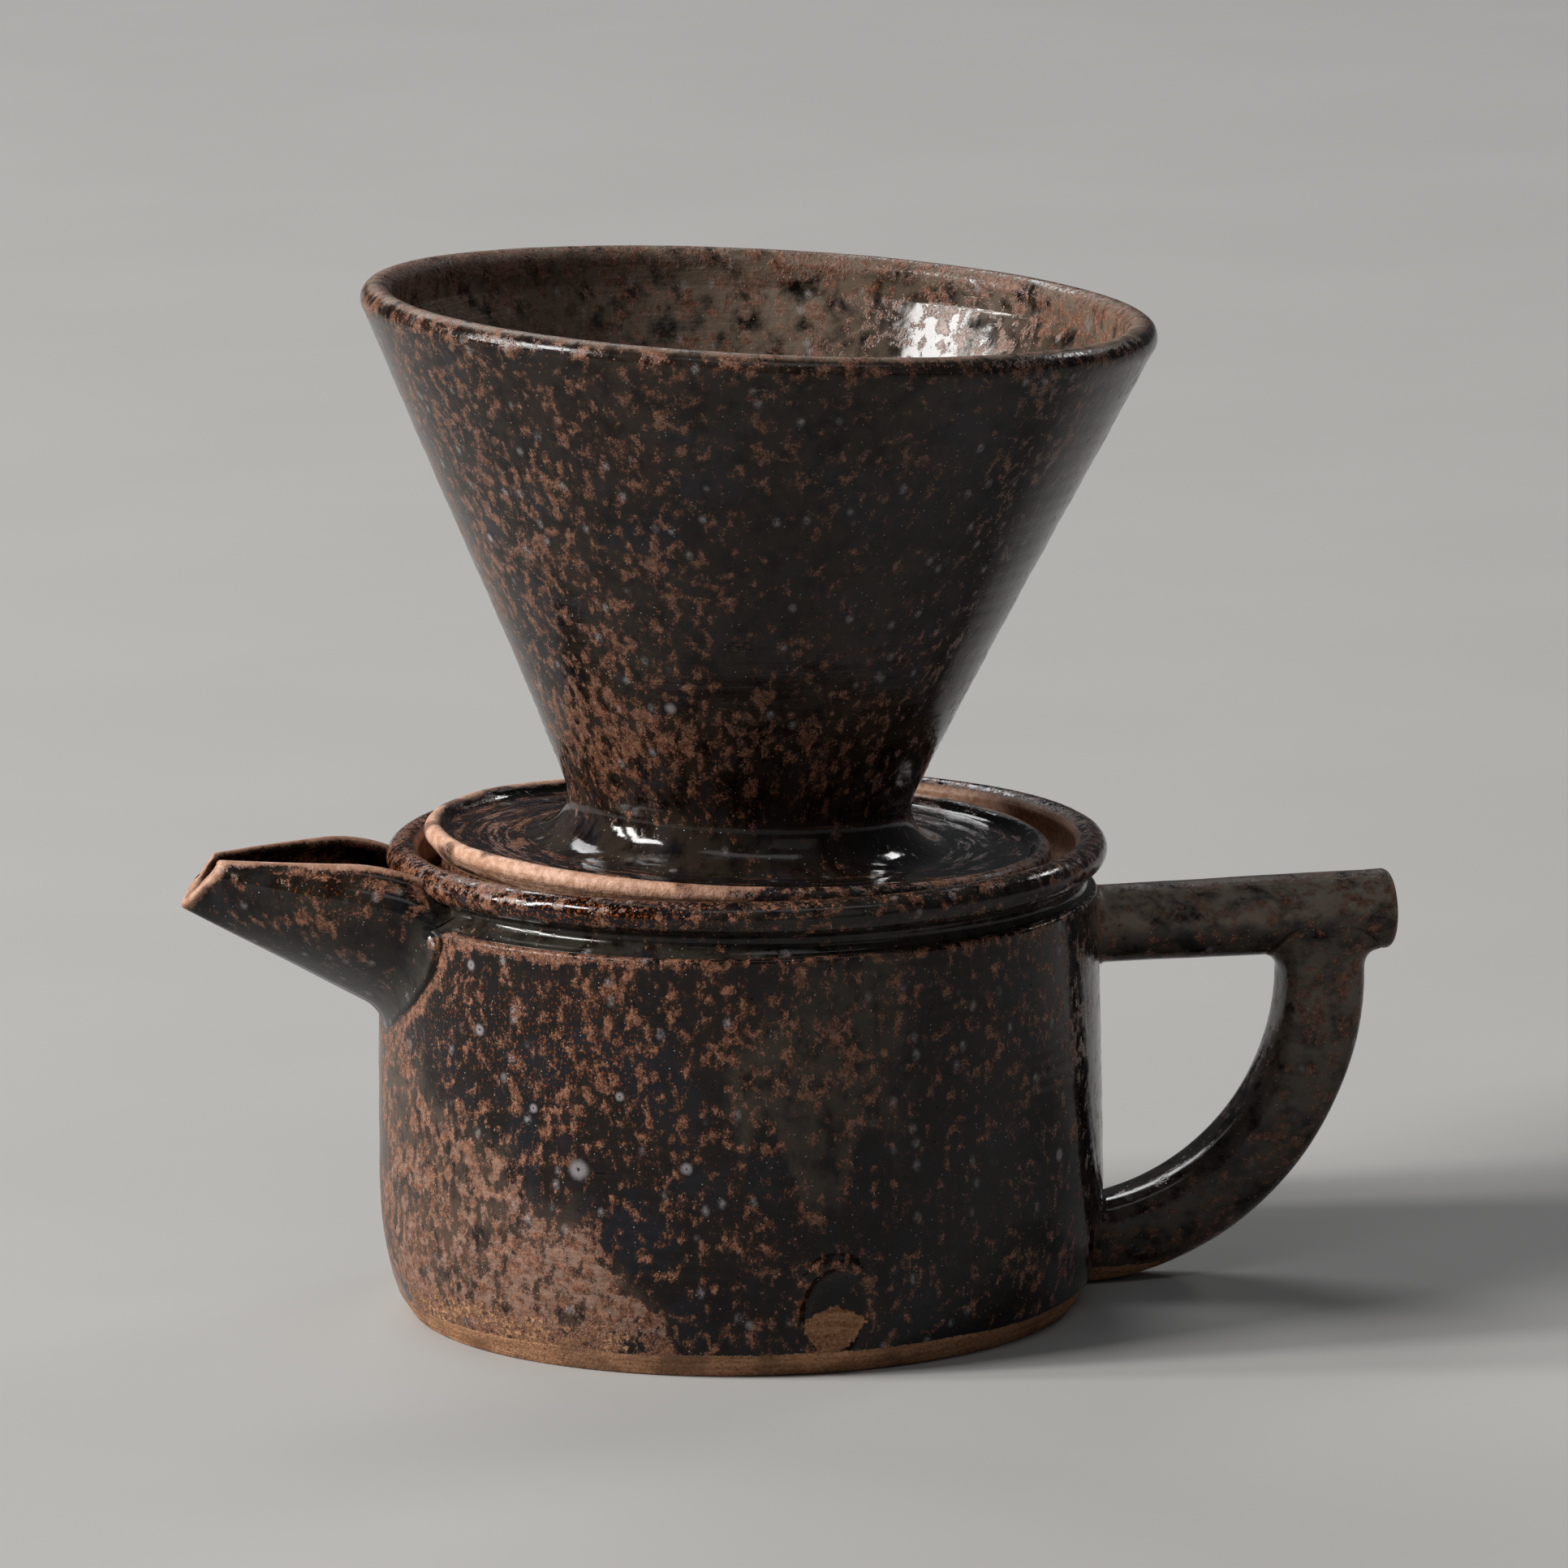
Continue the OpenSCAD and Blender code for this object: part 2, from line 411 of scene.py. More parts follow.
def make_pot_wall():
    skin_z = np.linspace(bevel_z + 1, shoulder_z - 1.2, 26)
    skin = [(float(wall_radius(z)), z, 0) for z in skin_z]
    top_r = float(wall_radius(shoulder_z))
    inside = cup_corners(bore_r, floor_r, corner_z, floor_t)
    corners = [(foot_r - 0.2, 0, 0.7), (bevel_r, bevel_z, 1.2), *skin, (top_r, shoulder_z, 1.0)]
    corners += [(bore_r, shoulder_z, 0.2), *inside, (floor_r, 0, 0.3)]
    points, normals, faces = turned(corners, 0.62)
    outside = smooth(-0.2, 0.4, (normals[:, :2] * points[:, :2]).sum(1) / radius_of(points))
    height = points[:, 2]
    body = smooth(bevel_z - 0.5, bevel_z + 3, height) * smooth(shoulder_z, shoulder_z - 3, height)
    push = 0.22 * fractal(points, 38, 2, 3) * smooth(0, 8, height)
    low_left = patch(degrees_from_front(points), height, -75, 5, 5, 36, 12, 5)
    push += throwing_rings(points, 2.1, 0.025, 11) * body * (1 + 2.6 * low_left)
    push += throwing_rings(points, 8.5, 0.05, 17) * body
    push += 0.05 * fractal(points, 1.6, 2, 23) * (1 - body) * smooth(0.2, 1.5, height)
    push += 0.25 * fractal(points, 9, 2, 29) * hill(height, bevel_z, 1.6)
    offset = thumb_offset(points)
    dimple = -1.9 * (1 - np.clip(offset / thumb_r, 0, 1) ** 3.2) ** 1.2
    dimple += 0.50 * hill(offset, thumb_r + 0.4, 0.7)
    points = points + normals * (outside * (push + dimple))[:, None]
    wall = make_mesh("pot_wall_skin", points, faces)
    cut_spill_hole(wall)
    return wall


SHARP_EDGE = math.radians(52)


def cut_spill_hole(wall):
    """Cuts the half-disc hole through the wall behind the spout."""
    steps = 32
    outline = arc(0, 0, spill_r, 180, 360, steps)
    outline = rounded([(y, z, 1.2 if k in (0, steps) else 0) for k, (y, z, _) in enumerate(outline)])
    near, far = -pot_r - 3, -bore_r + 3
    ring = np.array([(x, y, spill_top_z + z) for x in (near, far) for y, z in outline])
    count = len(outline)
    faces = grid_faces(2, count)
    faces += [list(range(count))[::-1], list(range(count, 2 * count))]
    cutter = make_mesh("spill_cutter", ring, faces, turn_out=True)
    cut = wall.modifiers.new("spill hole", "BOOLEAN")
    cut.operation = "DIFFERENCE"
    cut.solver = "EXACT"
    cut.object = cutter
    apply_modifiers(wall)
    bpy.data.objects.remove(cutter)
    wall.data.shade_smooth()
    wall.data.set_sharp_from_angle(angle=SHARP_EDGE)


def apply_modifiers(piece):
    depsgraph = bpy.context.evaluated_depsgraph_get()
    mesh = bpy.data.meshes.new_from_object(piece.evaluated_get(depsgraph))
    piece.modifiers.clear()
    old = piece.data
    piece.data = mesh
    bpy.data.meshes.remove(old)
    mesh.name = piece.name


# Where the wall has more or less rust: gain, then the arguments of patch
WALL_RUST = [
    (0.10, -82, -18, 24, 52, 10, 6),
    (0.05, -58, -19, 50, 61, 6, 3),
    (0.06, -19, 4, 26, 60, 4, 6),
    (-0.17, -8, 110, 3, 36, 5, 4),
    (0.04, 27, 88, 38, 61, 6, 6),
    (0.07, 6, 27, 42, 61, 3, 5),
    (0.34, 48, 72, 7, 15, 5, 2),
    (0.30, 1, 8, 15, 36, 2.5, 4),
]


def paint_pot_wall(wall, seam):
    points = vertices_mm(wall)
    radius, a, z = cylinder(points)
    outside = (radius > bore_r + 1.2) | (z < bevel_z + 0.4)
    ragged = fractal(points * [1, 1, 0.6], 9, 4, 41)
    broad = fractal(points, 26, 2, 47)
    edge_a, edge_z = a + 7 * ragged, z + 3.0 * ragged

    # flecks all over, the matt patch low on the left, and a small patch at the back
    rust = 0.27 + 0.12 * broad
    for gain, *area in WALL_RUST:
        rust += gain * patch(edge_a, edge_z, *area)
    patch_top = np.interp(a, (-80, -60, -35, -21, -8), (49, 43, 29, 21, 5)) + 6.0 * ragged
    low_patch = smooth(4, -4, z - patch_top) * smooth(-96, -74, a + 6 * ragged) * smooth(0, -10, edge_a)
    cloud = fractal(points * [1, 1, 1.7], 9, 4, 59)
    full = smooth(24, 9, edge_z - 0.25 * (a + 45))
    rust = np.maximum(rust, 0.22 + low_patch * (0.33 + 0.22 * full + 0.34 * cloud))
    rust = np.maximum(rust, 0.85 * patch(edge_a, edge_z, 120, 190, 4, 20, 14, 5))
    rust = np.where(outside, rust, 0.26 + 0.12 * broad)

    # a dark band and a rust line round the spout's seam, and a rust line under the shoulder
    near_seam = nearest(points, seam)
    band = smooth(3.6, 2.4, near_seam + 0.5 * ragged) * outside
    side_band = smooth(3.0, 3.8, near_seam) * smooth(6.6, 4.2, near_seam + 1.4 * ragged) * outside
    rust *= 1 - band
    line = smooth(shoulder_z - 2.3, shoulder_z - 1.2, z + 0.9 * ragged) * outside
    line *= 0.55 + 0.45 * smooth(10, -40, a)
    rust = np.maximum(rust, 0.86 * np.maximum(line, 0.95 * side_band)) * (1 - band)
    tan = np.maximum(0.36 * line, 0.40 * side_band) * (1 - band)

    # grey drips from the shoulder, and a grey veil
    drips = patch(edge_a, z, 3, 27, 26, 66, 3, 3) * (0.8 + 0.4 * ragged)
    lobes = 40 + 9 * np.sin(np.radians(a * 22)) + 6 * ragged
    drips = np.maximum(drips * smooth(lobes - 13, lobes - 9, z), 0)
    grey = drips + low_patch * smooth(4, 12, edge_z) * (0.90 - 0.5 * cloud) + 0.45 * band
    grey += 0.05 + 0.08 * broad
    grey = np.maximum(grey, 0.55 * patch(edge_a, edge_z, 60, 120, 44, 62, 14, 5))
    amber = 0.25 + 0.6 * patch(edge_a, edge_z, -66, -15, 40, 62, 8, 6) + 0.1 * broad

    # bare clay at the foot and in the thumb mark
    bevel_edge = bevel_z + 0.5 * fractal(points, 14, 2, 53)
    bare = np.where(outside, smooth(bevel_edge + 0.5, bevel_edge - 0.2, z), z < 0.4)
    sandy = patch(edge_a, edge_z, -74, -14, 2, 9.5, 8, 4) * outside
    offset = thumb_offset(points)
    in_thumb = smooth(thumb_r + 0.3, thumb_r - 1.0, offset + 0.6 * ragged)
    thumb_across = (a - math.degrees(thumb_angle - front)) * math.radians(pot_r)
    thumb_low = z - thumb_z - 1.6 * np.cos(0.5 * np.clip(thumb_across, -6, 6)) + 2.6 * ragged
    bare = np.maximum(bare, 0.72 * in_thumb * smooth(0.6, -1.2, thumb_low))
    rust = rust - 0.15 * in_thumb + 0.30 * smooth(1.5, 0.3, np.abs(offset - thumb_r - 0.3))
    bare = np.maximum(bare, 0.50 * sandy)
    dull = low_patch * (0.55 + 0.4 * smooth(30, 14, z)) * smooth(3, 9, z) * outside + 0.3 * drips
    grain = points * [1, 1, 0.78]
    paint(wall, grain, rust=rust, bare=bare, grey=grey * outside, amber=amber, tan=tan, dull=dull)


def nearest(points, line):
    """Distance from each point to the nearest point of a line of points."""
    best = np.full(len(points), 1e9)
    for spot in line:
        best = np.minimum(best, ((points - spot) ** 2).sum(1))
    return np.sqrt(best)


def make_pot_floor():
    recess, edge_r = 0.5, floor_r - 0.05
    corners = [(0, recess, 0), (floor_r - 6, recess, 0.5), (floor_r - 5, 0, 0.3), (edge_r, 0, 0.3)]
    corners += [(edge_r, floor_t - 0.3, 0.3), (floor_r - 3, floor_t - 0.5, 2)]
    corners += [(20, floor_t - 0.9, 6), (6, floor_t - 0.7, 4), (0, floor_t - 0.3, 0)]
    points, normals, faces = turned(corners, 0.9, turns=240, closed=False)
    upper = smooth(0.3, 0.8, normals[:, 2])
    radius = radius_of(points)
    angle = angle_of(points)
    spiral = np.sin(math.tau * (radius / 3.4 + angle / math.tau))
    points[:, 2] += upper * 0.12 * spiral * smooth(floor_r - 1, floor_r - 6, radius)
    floor = make_mesh("pot_floor_disc", points, faces)
    points = vertices_mm(floor)
    broad = fractal(points, 18, 3, 61)
    bare = smooth(1.2, 0.8, points[:, 2])
    paint(floor, points, rust=0.36 + 0.2 * broad, bare=bare, amber=0.5, grey=0.2)
    return floor


def make_pot_collar():
    shoulder_r = float(wall_radius(shoulder_z)) - 0.55
    cove = [(shoulder_r, shoulder_z - 0.15, 0.3), (lip_r + 0.75, shoulder_z + 0.35, 0.8)]
    cove += [(lip_r - 0.2, shoulder_z + 1.6, 1.2), (lip_r + 0.1, lip_z - 2.6, 1.0)]
    bead = arc(lip_r, lip_z, lip_bead_r, -62, 160, 22)
    corners = [(collar_in_r, shoulder_z - 0.1, 0.3), *cove, *bead, (collar_in_r, lip_z - 1.2, 0.8)]
    points, normals, faces = turned(corners, 0.42)
    height = points[:, 2]
    push = 0.16 * fractal(points, 30, 2, 71) + 0.05 * fractal(points, 5, 2, 73)
    push *= smooth(shoulder_z, shoulder_z + 2.5, height)
    points = points + normals * push[:, None]
    points[:, 0] += lip_shift * smooth(shoulder_z, shoulder_z + 3, height)
    collar = make_mesh("pot_collar_ring", points, faces)
    points = vertices_mm(collar)
    z = points[:, 2]
    a = degrees_from_front(points)
    centred = points - [lip_shift, 0, 0]
    radius = radius_of(centred)
    ragged = fractal(points, 7, 3, 79)
    inner = smooth(lip_r - 1.0, lip_r - 2.0, radius)
    cove = smooth(lip_z - 1.2, lip_z - 2.4, z + 0.4 * ragged) * (1 - inner)
    crown = smooth(lip_z + 0.9, lip_z + 2.2, z + 0.5 * ragged)
    rust = 0.41 + 0.14 * ragged + 0.10 * smooth(30, 80, np.abs(a)) - 0.34 * cove
    rust -= 0.08 * patch(a, z, -15, 90, 60, 75, 15, 2)
    tan = 0.40 * crown * (0.7 + 0.5 * ragged)
    tan = np.maximum(tan, inner * (0.66 + 0.16 * smooth(60, 130, np.abs(a)) + 0.2 * ragged))
    amber = 0.85 * (1 - cove) * smooth(30, -20, a) * (1 - inner) + 0.15
    grey = 0.55 * cove + 0.5 * patch(a, z, -5, 110, 66, 73, 14, 1) * (1 - cove)
    paint(collar, centred, rust=rust, tan=tan, amber=amber, grey=grey, dull=0.4 * inner)
    return collar


def make_pot_ledge():
    under = shoulder_z - ledge_t
    corners = [(bore_r - 0.02, ledge_low[2], 0.2), (bore_r - 0.02, shoulder_z, 0.2)]
    corners += [(ledge_in_r, shoulder_z, 0.9), (ledge_in_r, under, 0.9)]
    points, normals, faces = turned(corners, 0.6, turns=300)
    push = 0.07 * fractal(points, 12, 3, 83) * smooth(bore_r - 0.3, bore_r - 2, radius_of(points))
    points = points + normals * push[:, None]
    ledge = make_mesh("pot_ledge_ring", points, faces)
    points = vertices_mm(ledge)
    radius = radius_of(points)
    ragged = fractal(points, 6, 3, 89)
    bare = smooth(ledge_in_r + 0.4, ledge_in_r + 1.6, radius + 0.8 * ragged)
    bare *= smooth(shoulder_z - 0.9, shoulder_z - 0.3, points[:, 2])
    paint(ledge, points, rust=0.5 + 0.15 * ragged, bare=bare, amber=0.4, tan=0.3 * (1 - bare))
    return ledge


# ---- spout


def keel_height(r):
    slope = (keel_tip_z - keel_root_z) / (spout_reach - keel_root_r)
    return keel_root_z + slope * (r - keel_root_r)


def spout_edge_height(r):
    return spout_top_z - 2.8 * np.maximum(0, (62 - r) / 12) ** 2


def spout_half_width(r, share):
    """Half-width at distance r from the pot's axis and at a share of the spout's height."""
    bulge = 0.8
    widest = np.maximum(3.3, spout_root_w - 0.0886 * np.maximum(0, r - 50) ** 1.5)
    flare = np.sin(math.pi / 2 * (np.clip(share, 0, bulge) / bulge) ** 0.85)
    tuck = 1 - 0.22 * (np.clip(share - bulge, 0, 1 - bulge) / (1 - bulge)) ** 2
    return widest * flare * tuck


def spout_wall_at(r):
    share = smooth(58, spout_reach - 3, r)
    return spout_wall + (spout_mouth_wall - spout_wall) * share


def spout_point(r, side, share, depth):
    """Point of the spout's skin, depth in from its outside, as (-r, y, z)."""
    low = keel_height(r) + 1.15 * depth
    high = spout_edge_height(r) - spout_wall_at(r) / 2
    z = low + (high - low) * share
    y = side * np.maximum(spout_half_width(r, share) - depth, 0.3 * (share > 0))
    return np.stack([-r, y, z], axis=-1)


def pot_skin_radius(z):
    """Radius that the spout's root is sunk to, inside the wall or the collar."""
    return np.where(z < shoulder_z - 0.5, wall_radius(np.minimum(z, shoulder_z)), lip_r - lip_shift)


def solve_reach(side, share, depth, target):
    """Distance from the axis at which a line of the skin meets target(point)."""
    r = np.full(np.shape(share), 60.0)
    for _ in range(25):  # settles far below a micrometre
        r = 0.5 * r + 0.5 * target(spout_point(r, side, share, depth))
    return r


def root_reach(sink):
    def target(point):
        ring = pot_skin_radius(point[..., 2]) - sink
        return np.sqrt(np.maximum(ring**2 - point[..., 1] ** 2, 1))

    return target


def mouth_reach(point):
    rise = (point[..., 2] - keel_tip_z) / (spout_top_z - keel_tip_z)
    return spout_reach - mouth_back * np.clip(rise, -0.2, 1.1)


def spout_line(count):
    """Shares of the height and sides, down one side of the spout's U and up the other."""
    share = np.concatenate([np.linspace(1, 0, count), np.linspace(0, 1, count)[1:]])
    return share, np.concatenate([-np.ones(count), np.ones(count - 1)])


def make_spout():
    """A U-shaped slab: closed sections lofted from inside the wall to the slanted mouth."""
    share, side = spout_line(30)
    stations = np.linspace(0, 1, 74) ** 1.6
    walls = []
    for skin in (0, 1):
        start = solve_reach(side, share, skin * spout_wall, root_reach(1.0))
        end = solve_reach(side, share, skin * spout_mouth_wall, mouth_reach)
        r = start + (end - start) * stations[:, None]
        walls.append(spout_point(r, side, share, skin * spout_wall_at(r)))
    outer, inner = walls
    ridge = (outer[:, [0, -1]] + inner[:, [0, -1]]) / 2
    crown = spout_wall_at(-ridge[..., 0]) / 2

    # flare the outside where it meets the pot, and let hands have shaped it
    flat = outer.reshape(-1, 3)
    along = np.gradient(outer, axis=1)
    out_normal = np.stack([0 * along[..., 0], along[..., 2], -along[..., 1]], axis=-1)
    out_normal /= np.maximum(np.linalg.norm(out_normal, axis=-1, keepdims=True), 1e-9)
    gap = radius_of(flat) - pot_skin_radius(flat[:, 2])
    swell = fillet(np.maximum(gap, 0), 3.0) * smooth(0.97, 0.80, np.tile(share, len(stations)))
    swell += 0.16 * fractal(flat, 16, 2, 97)
    outer = outer + out_normal * swell.reshape(outer.shape[:2])[..., None]

    # round the top edges over with a half circle, and the mouth with a quarter circle
    bow = np.array([(0, math.cos(t), math.sin(t)) for t in np.linspace(0, math.pi, 9)[1:-1]])
    loops = []
    for k in range(len(stations)):
        far_edge, near_edge = ridge[k, 1] + crown[k, 1] * bow, ridge[k, 0] + crown[k, 1] * bow
        loops.append(np.concatenate([outer[k], far_edge, inner[k][::-1], near_edge]))
    half = (outer[-1] + inner[-1]) / 2
    core = np.concatenate([half, ridge[-1, 1] + 0 * bow, half[::-1], ridge[-1, 0] + 0 * bow])
    tip, forward = loops[-1], loops[-1] - loops[-2]
    forward /= np.linalg.norm(forward, axis=1, keepdims=True)
    for angle in np.linspace(0, math.pi / 2, 8)[1:]:
        grown = core + (tip - core) * math.cos(angle)
        loops.append(grown + forward * (spout_mouth_wall / 2) * math.sin(angle))
    points = np.concatenate(loops)
    faces = grid_faces(len(loops), len(tip))
    count, edge = len(share), len(bow)
    twin = [*range(count + edge, 2 * count + edge)][::-1]
    cap = [(k, k + 1, twin[k + 1], twin[k]) for k in range(count - 1)]
    cap += [(count - 1, *range(count, count + edge), count + edge)]
    cap += [(0, 2 * count + edge - 1, *range(2 * count + edge, 2 * count + 2 * edge))]
    faces += [c[::-1] for c in cap[:-1]] + cap[-1:]
    piece = make_mesh("spout_slab", points, faces, merge=4e-6, turn_out=True)
    seam = spout_seam()
    paint_spout(piece, seam)
    return piece, seam


def spout_seam():
    """Points of the curve where the spout's outside meets the pot."""
    share, side = spout_line(60)
    r = solve_reach(side, share, 0.0, root_reach(0.0))
    return spout_point(r, side, share, 0.0)


def paint_spout(piece, seam):
    points = vertices_mm(piece)
    r, y, z = -points[:, 0], points[:, 1], points[:, 2]
    ragged = fractal(points, 6, 4, 101)
    broad = fractal(points, 14, 2, 103)
    top = spout_edge_height(r)
    low = keel_height(r)
    share = (z - low) / np.maximum(top - low, 1)
    near = nearest(points, seam)
    outside = np.abs(y) > spout_half_width(r, np.clip(share, 0, 1)) - 0.8
    outside = outside | (z < low + 1.0)
    edge = smooth(1.3, 0.2, top - z + 0.5 * ragged)
    mouth_gap = spout_reach - mouth_back * (z - keel_tip_z) / (spout_top_z - keel_tip_z) - r
    mouth = smooth(1.5, 0.3, mouth_gap + 0.5 * ragged)
    band = smooth(3.4, 2.0, near + 0.5 * ragged)
    rust = 0.17 + 0.12 * broad
    upper_middle = hill(r, 68, 6) * hill(z, 64.5, 3.2)
    rust += 0.36 * upper_middle * (1 + ragged)
    rust += 0.30 * smooth(7, 4, near) * smooth(0.45, 0.8, share)
    rust = np.where(outside, rust, 0.42 + 0.1 * broad) * (1 - band)
    tan = np.maximum(0.66 * edge, 0.70 * mouth)
    halo = smooth(2.6, 3.4, near) * smooth(5.6, 4.2, near)
    tan = np.maximum(tan, 0.5 * halo * smooth(0.5, 0.9, share))
    amber = 0.2 + 0.75 * hill(r, 67, 10) * hill(z, 69.3, 1.8)
    grey = 0.32 + 0.2 * ragged + 0.3 * band
    grain = points * [0.9, 1, 0.6]
    paint(piece, grain, rust=rust, tan=tan, amber=amber, grey=grey)


# ---- handle


def wall_gap(points):
    """Distance outside the pot wall, measured level from the axis."""
    return radius_of(points) - wall_radius(np.clip(points[:, 2], 0, shoulder_z))


def handle_lumps(points):
    """How far the rolled clay of the bar and the arm swells and sinks."""
    return 0.17 * fractal(points * [0.6, 1, 1], 12, 2, 107)


def handle_glaze(points):
    """Ragged noise, broad noise and grain, the same for the bar and the arm."""
    return fractal(points, 8, 4, 109), fractal(points, 20, 2, 113), points * [0.8, 1, 1]


def make_handle_bar():
    start = arm_root_x
    length = bar_end_x - start
    corners = [(0, 0, 0), (bar_r - 0.2, 0, 0.5), (bar_r - 0.15, length - 4, 0)]
    corners += [(bar_r - 0.02, length, 1.3), (2.5, length - 0.25, 1), (0, length - 0.3, 0)]
    points, normals, faces = turned(corners, 0.5, turns=120, closed=False)
    points = np.stack([points[:, 2] + start, points[:, 0], points[:, 1] + bar_z], axis=1)
    normals = np.stack([normals[:, 2], normals[:, 0], normals[:, 1]], axis=1)
    body = smooth(bar_end_x - 0.2, bar_end_x - 2, points[:, 0])
    push = handle_lumps(points) * body
    side = np.hypot(normals[:, 1], normals[:, 2])
    gap = wall_gap(points)
    flare = 0.8 * fillet(np.maximum(gap, 0), 1.5) + 0.35 * hill(gap, 1.0, 0.5)
    points = points + normals * (push + side * flare)[:, None]
    bar = make_mesh("handle_bar_rod", points, faces)
    points = vertices_mm(bar)
    x, y, z = points.T
    ragged, broad, grain = handle_glaze(points)
    upper = smooth(bar_z - 1.5, bar_z + 2.0, z + 2.0 * ragged)
    seam = smooth(1.7, 0.7, wall_gap(points) + 0.3 * ragged)
    end = smooth(bar_end_x - 2.2, bar_end_x - 0.6, x + 0.6 * ragged)
    face = smooth(bar_end_x - 0.5, bar_end_x - 0.2, x)
    face *= smooth(bar_r - 0.6, bar_r - 1.6, np.hypot(y, z - bar_z))
    rust = 0.27 + 0.16 * ragged + 0.10 * upper + 0.14 * smooth(84, 96, x) + 0.1 * broad
    # the upper half gets a pale grey satin veil; its paleness is partly painted light on the bar's lit
    # top, and the underside stays dark
    grey = 0.20 + 0.15 * smooth(84, 92, x) + 1.0 * upper + 0.15 * broad
    grey *= 1 - 0.4 * smooth(bar_z + 4.9, bar_z + 5.9, z)
    tan = np.maximum(0.55 * seam * upper, 0.50 * end * (1 - face))
    rust *= 1 - 0.3 * face
    paint(bar, grain, rust=rust, tan=tan, grey=grey, amber=0.15, dull=0.75 * upper)
    return bar


def arm_path(samples):
    """Centre line of the arm: a quarter bend up from the foot, then straight into the bar."""
    bend = arm_far_x - arm_root_x
    stub = bar_z - 0.3 - arm_bend_z
    quarter = bend * math.pi / 2
    along = np.linspace(0, quarter + stub, samples)
    angle = np.clip(along / bend, 0, math.pi / 2)
    straight = np.clip(along - quarter, 0, None)
    outward = np.stack([np.sin(angle), 0 * angle, -np.cos(angle)], axis=1)
    centre = outward * bend + [arm_root_x, 0, arm_bend_z]
    centre[:, 2] += straight
    return centre, outward


def make_handle_arm():
    samples, around = 190, 96
    centre, outward = arm_path(samples)
    turn = np.arange(around) * math.tau / around
    c, s = np.cos(turn), np.sin(turn)
    squareness = 3.1
    size = (np.abs(c) ** squareness + np.abs(s) ** squareness) ** (-1 / squareness)
    arm_half = arm_r - 0.65
    radial, lateral = (arm_r - 0.35) * c * size, arm_half * s * size
    # the inner front and back edges are pinched into soft ridges
    ridge = hill(np.abs(turn - math.pi), math.radians(48), 0.30)
    radial, lateral = radial * (1 + 0.045 * ridge), lateral * (1 + 0.045 * ridge)
    # at its top the arm swells to the bar's own width, so that the two run into each other
    level = centre[:, 2]
    bar_half = np.sqrt(np.maximum((bar_r - 0.15) ** 2 - (bar_z - level) ** 2, 0))
    bar_half *= level > bar_z - bar_r
    blend = 1.2
    share = np.clip(0.5 + 0.5 * (bar_half - arm_half) / blend, 0, 1)
    half = arm_half + (bar_half - arm_half) * share + blend * share * (1 - share)
    half *= 1 - 0.16 * smooth(bar_z - 3.2, bar_z - 0.3, level)
    lateral = lateral[None, :] * (half / arm_half)[:, None]
    side = np.array([0.0, 1.0, 0.0])
    away = outward[:, None, :] * radial[None, :, None] + side * lateral[:, :, None]
    points = centre[:, None, :] + away
    away /= np.linalg.norm(away, axis=2, keepdims=True)
    flat, away = points.reshape(-1, 3), away.reshape(-1, 3)
    under = bar_z - np.sqrt(np.maximum((bar_r - 0.2) ** 2 - flat[:, 1] ** 2, 0))
    push = 0.85 * fillet(np.maximum(under - flat[:, 2], 0), 3.4) * away[:, 0] ** 2
    push *= smooth(arm_bend_z - 2, arm_bend_z, flat[:, 2]) * smooth(2.6, 0.4, flat[:, 2] - under)
    gap = wall_gap(flat)
    push += 0.7 * fillet(np.maximum(gap, 0), 1.3) + 0.30 * hill(gap, 0.9, 0.45)
    push += handle_lumps(flat)
    flat = flat + away * push[:, None]
    # ease the lowest part down onto the table
    ease = 0.6
    flat[:, 2] = np.where(flat[:, 2] < ease, ease * np.exp(flat[:, 2] / ease - 1), flat[:, 2])
    faces = grid_faces(samples, around)
    faces += [list(range(around))[::-1], list(range((samples - 1) * around, samples * around))]
    arm = make_mesh("handle_arm_rod", flat, faces, merge=4e-6, turn_out=True)
    points = vertices_mm(arm)
    x, z = points[:, 0], points[:, 2]
    ragged, broad, grain = handle_glaze(points)
    bend = arm_far_x - arm_root_x
    from_centre = np.hypot(x - arm_root_x, np.minimum(z - arm_bend_z, 0)) - bend
    inner = smooth(-3.0, -5.0, from_centre)
    bare = smooth(3.4, 2.4, z + 0.7 * ragged) * smooth(76, 66, x)
    rust = 0.36 + 0.2 * ragged + 0.12 * smooth(30, 46, z) - 0.15 * inner
    seam = smooth(1.6, 0.6, wall_gap(points) + 0.3 * ragged)
    grey = 0.25 + 0.25 * broad + 0.35 * smooth(20, 50, z)
    under_bar = smooth(bar_z - bar_r - 5, bar_z - 2.5, z)
    rust += (0.41 + 0.16 * ragged + 0.1 * broad - rust) * under_bar
    grey += (0.35 + 0.15 * broad - grey) * under_bar
    paint(arm, grain, rust=rust, bare=bare, grey=grey, tan=0.5 * seam, amber=0.15, dull=0.12)
    return arm


# ---- dripper


def cone_skin(z):
    """Outer radius of the cone at height z above the dish."""
    return neck_r + cone_slope * (z - neck_z)


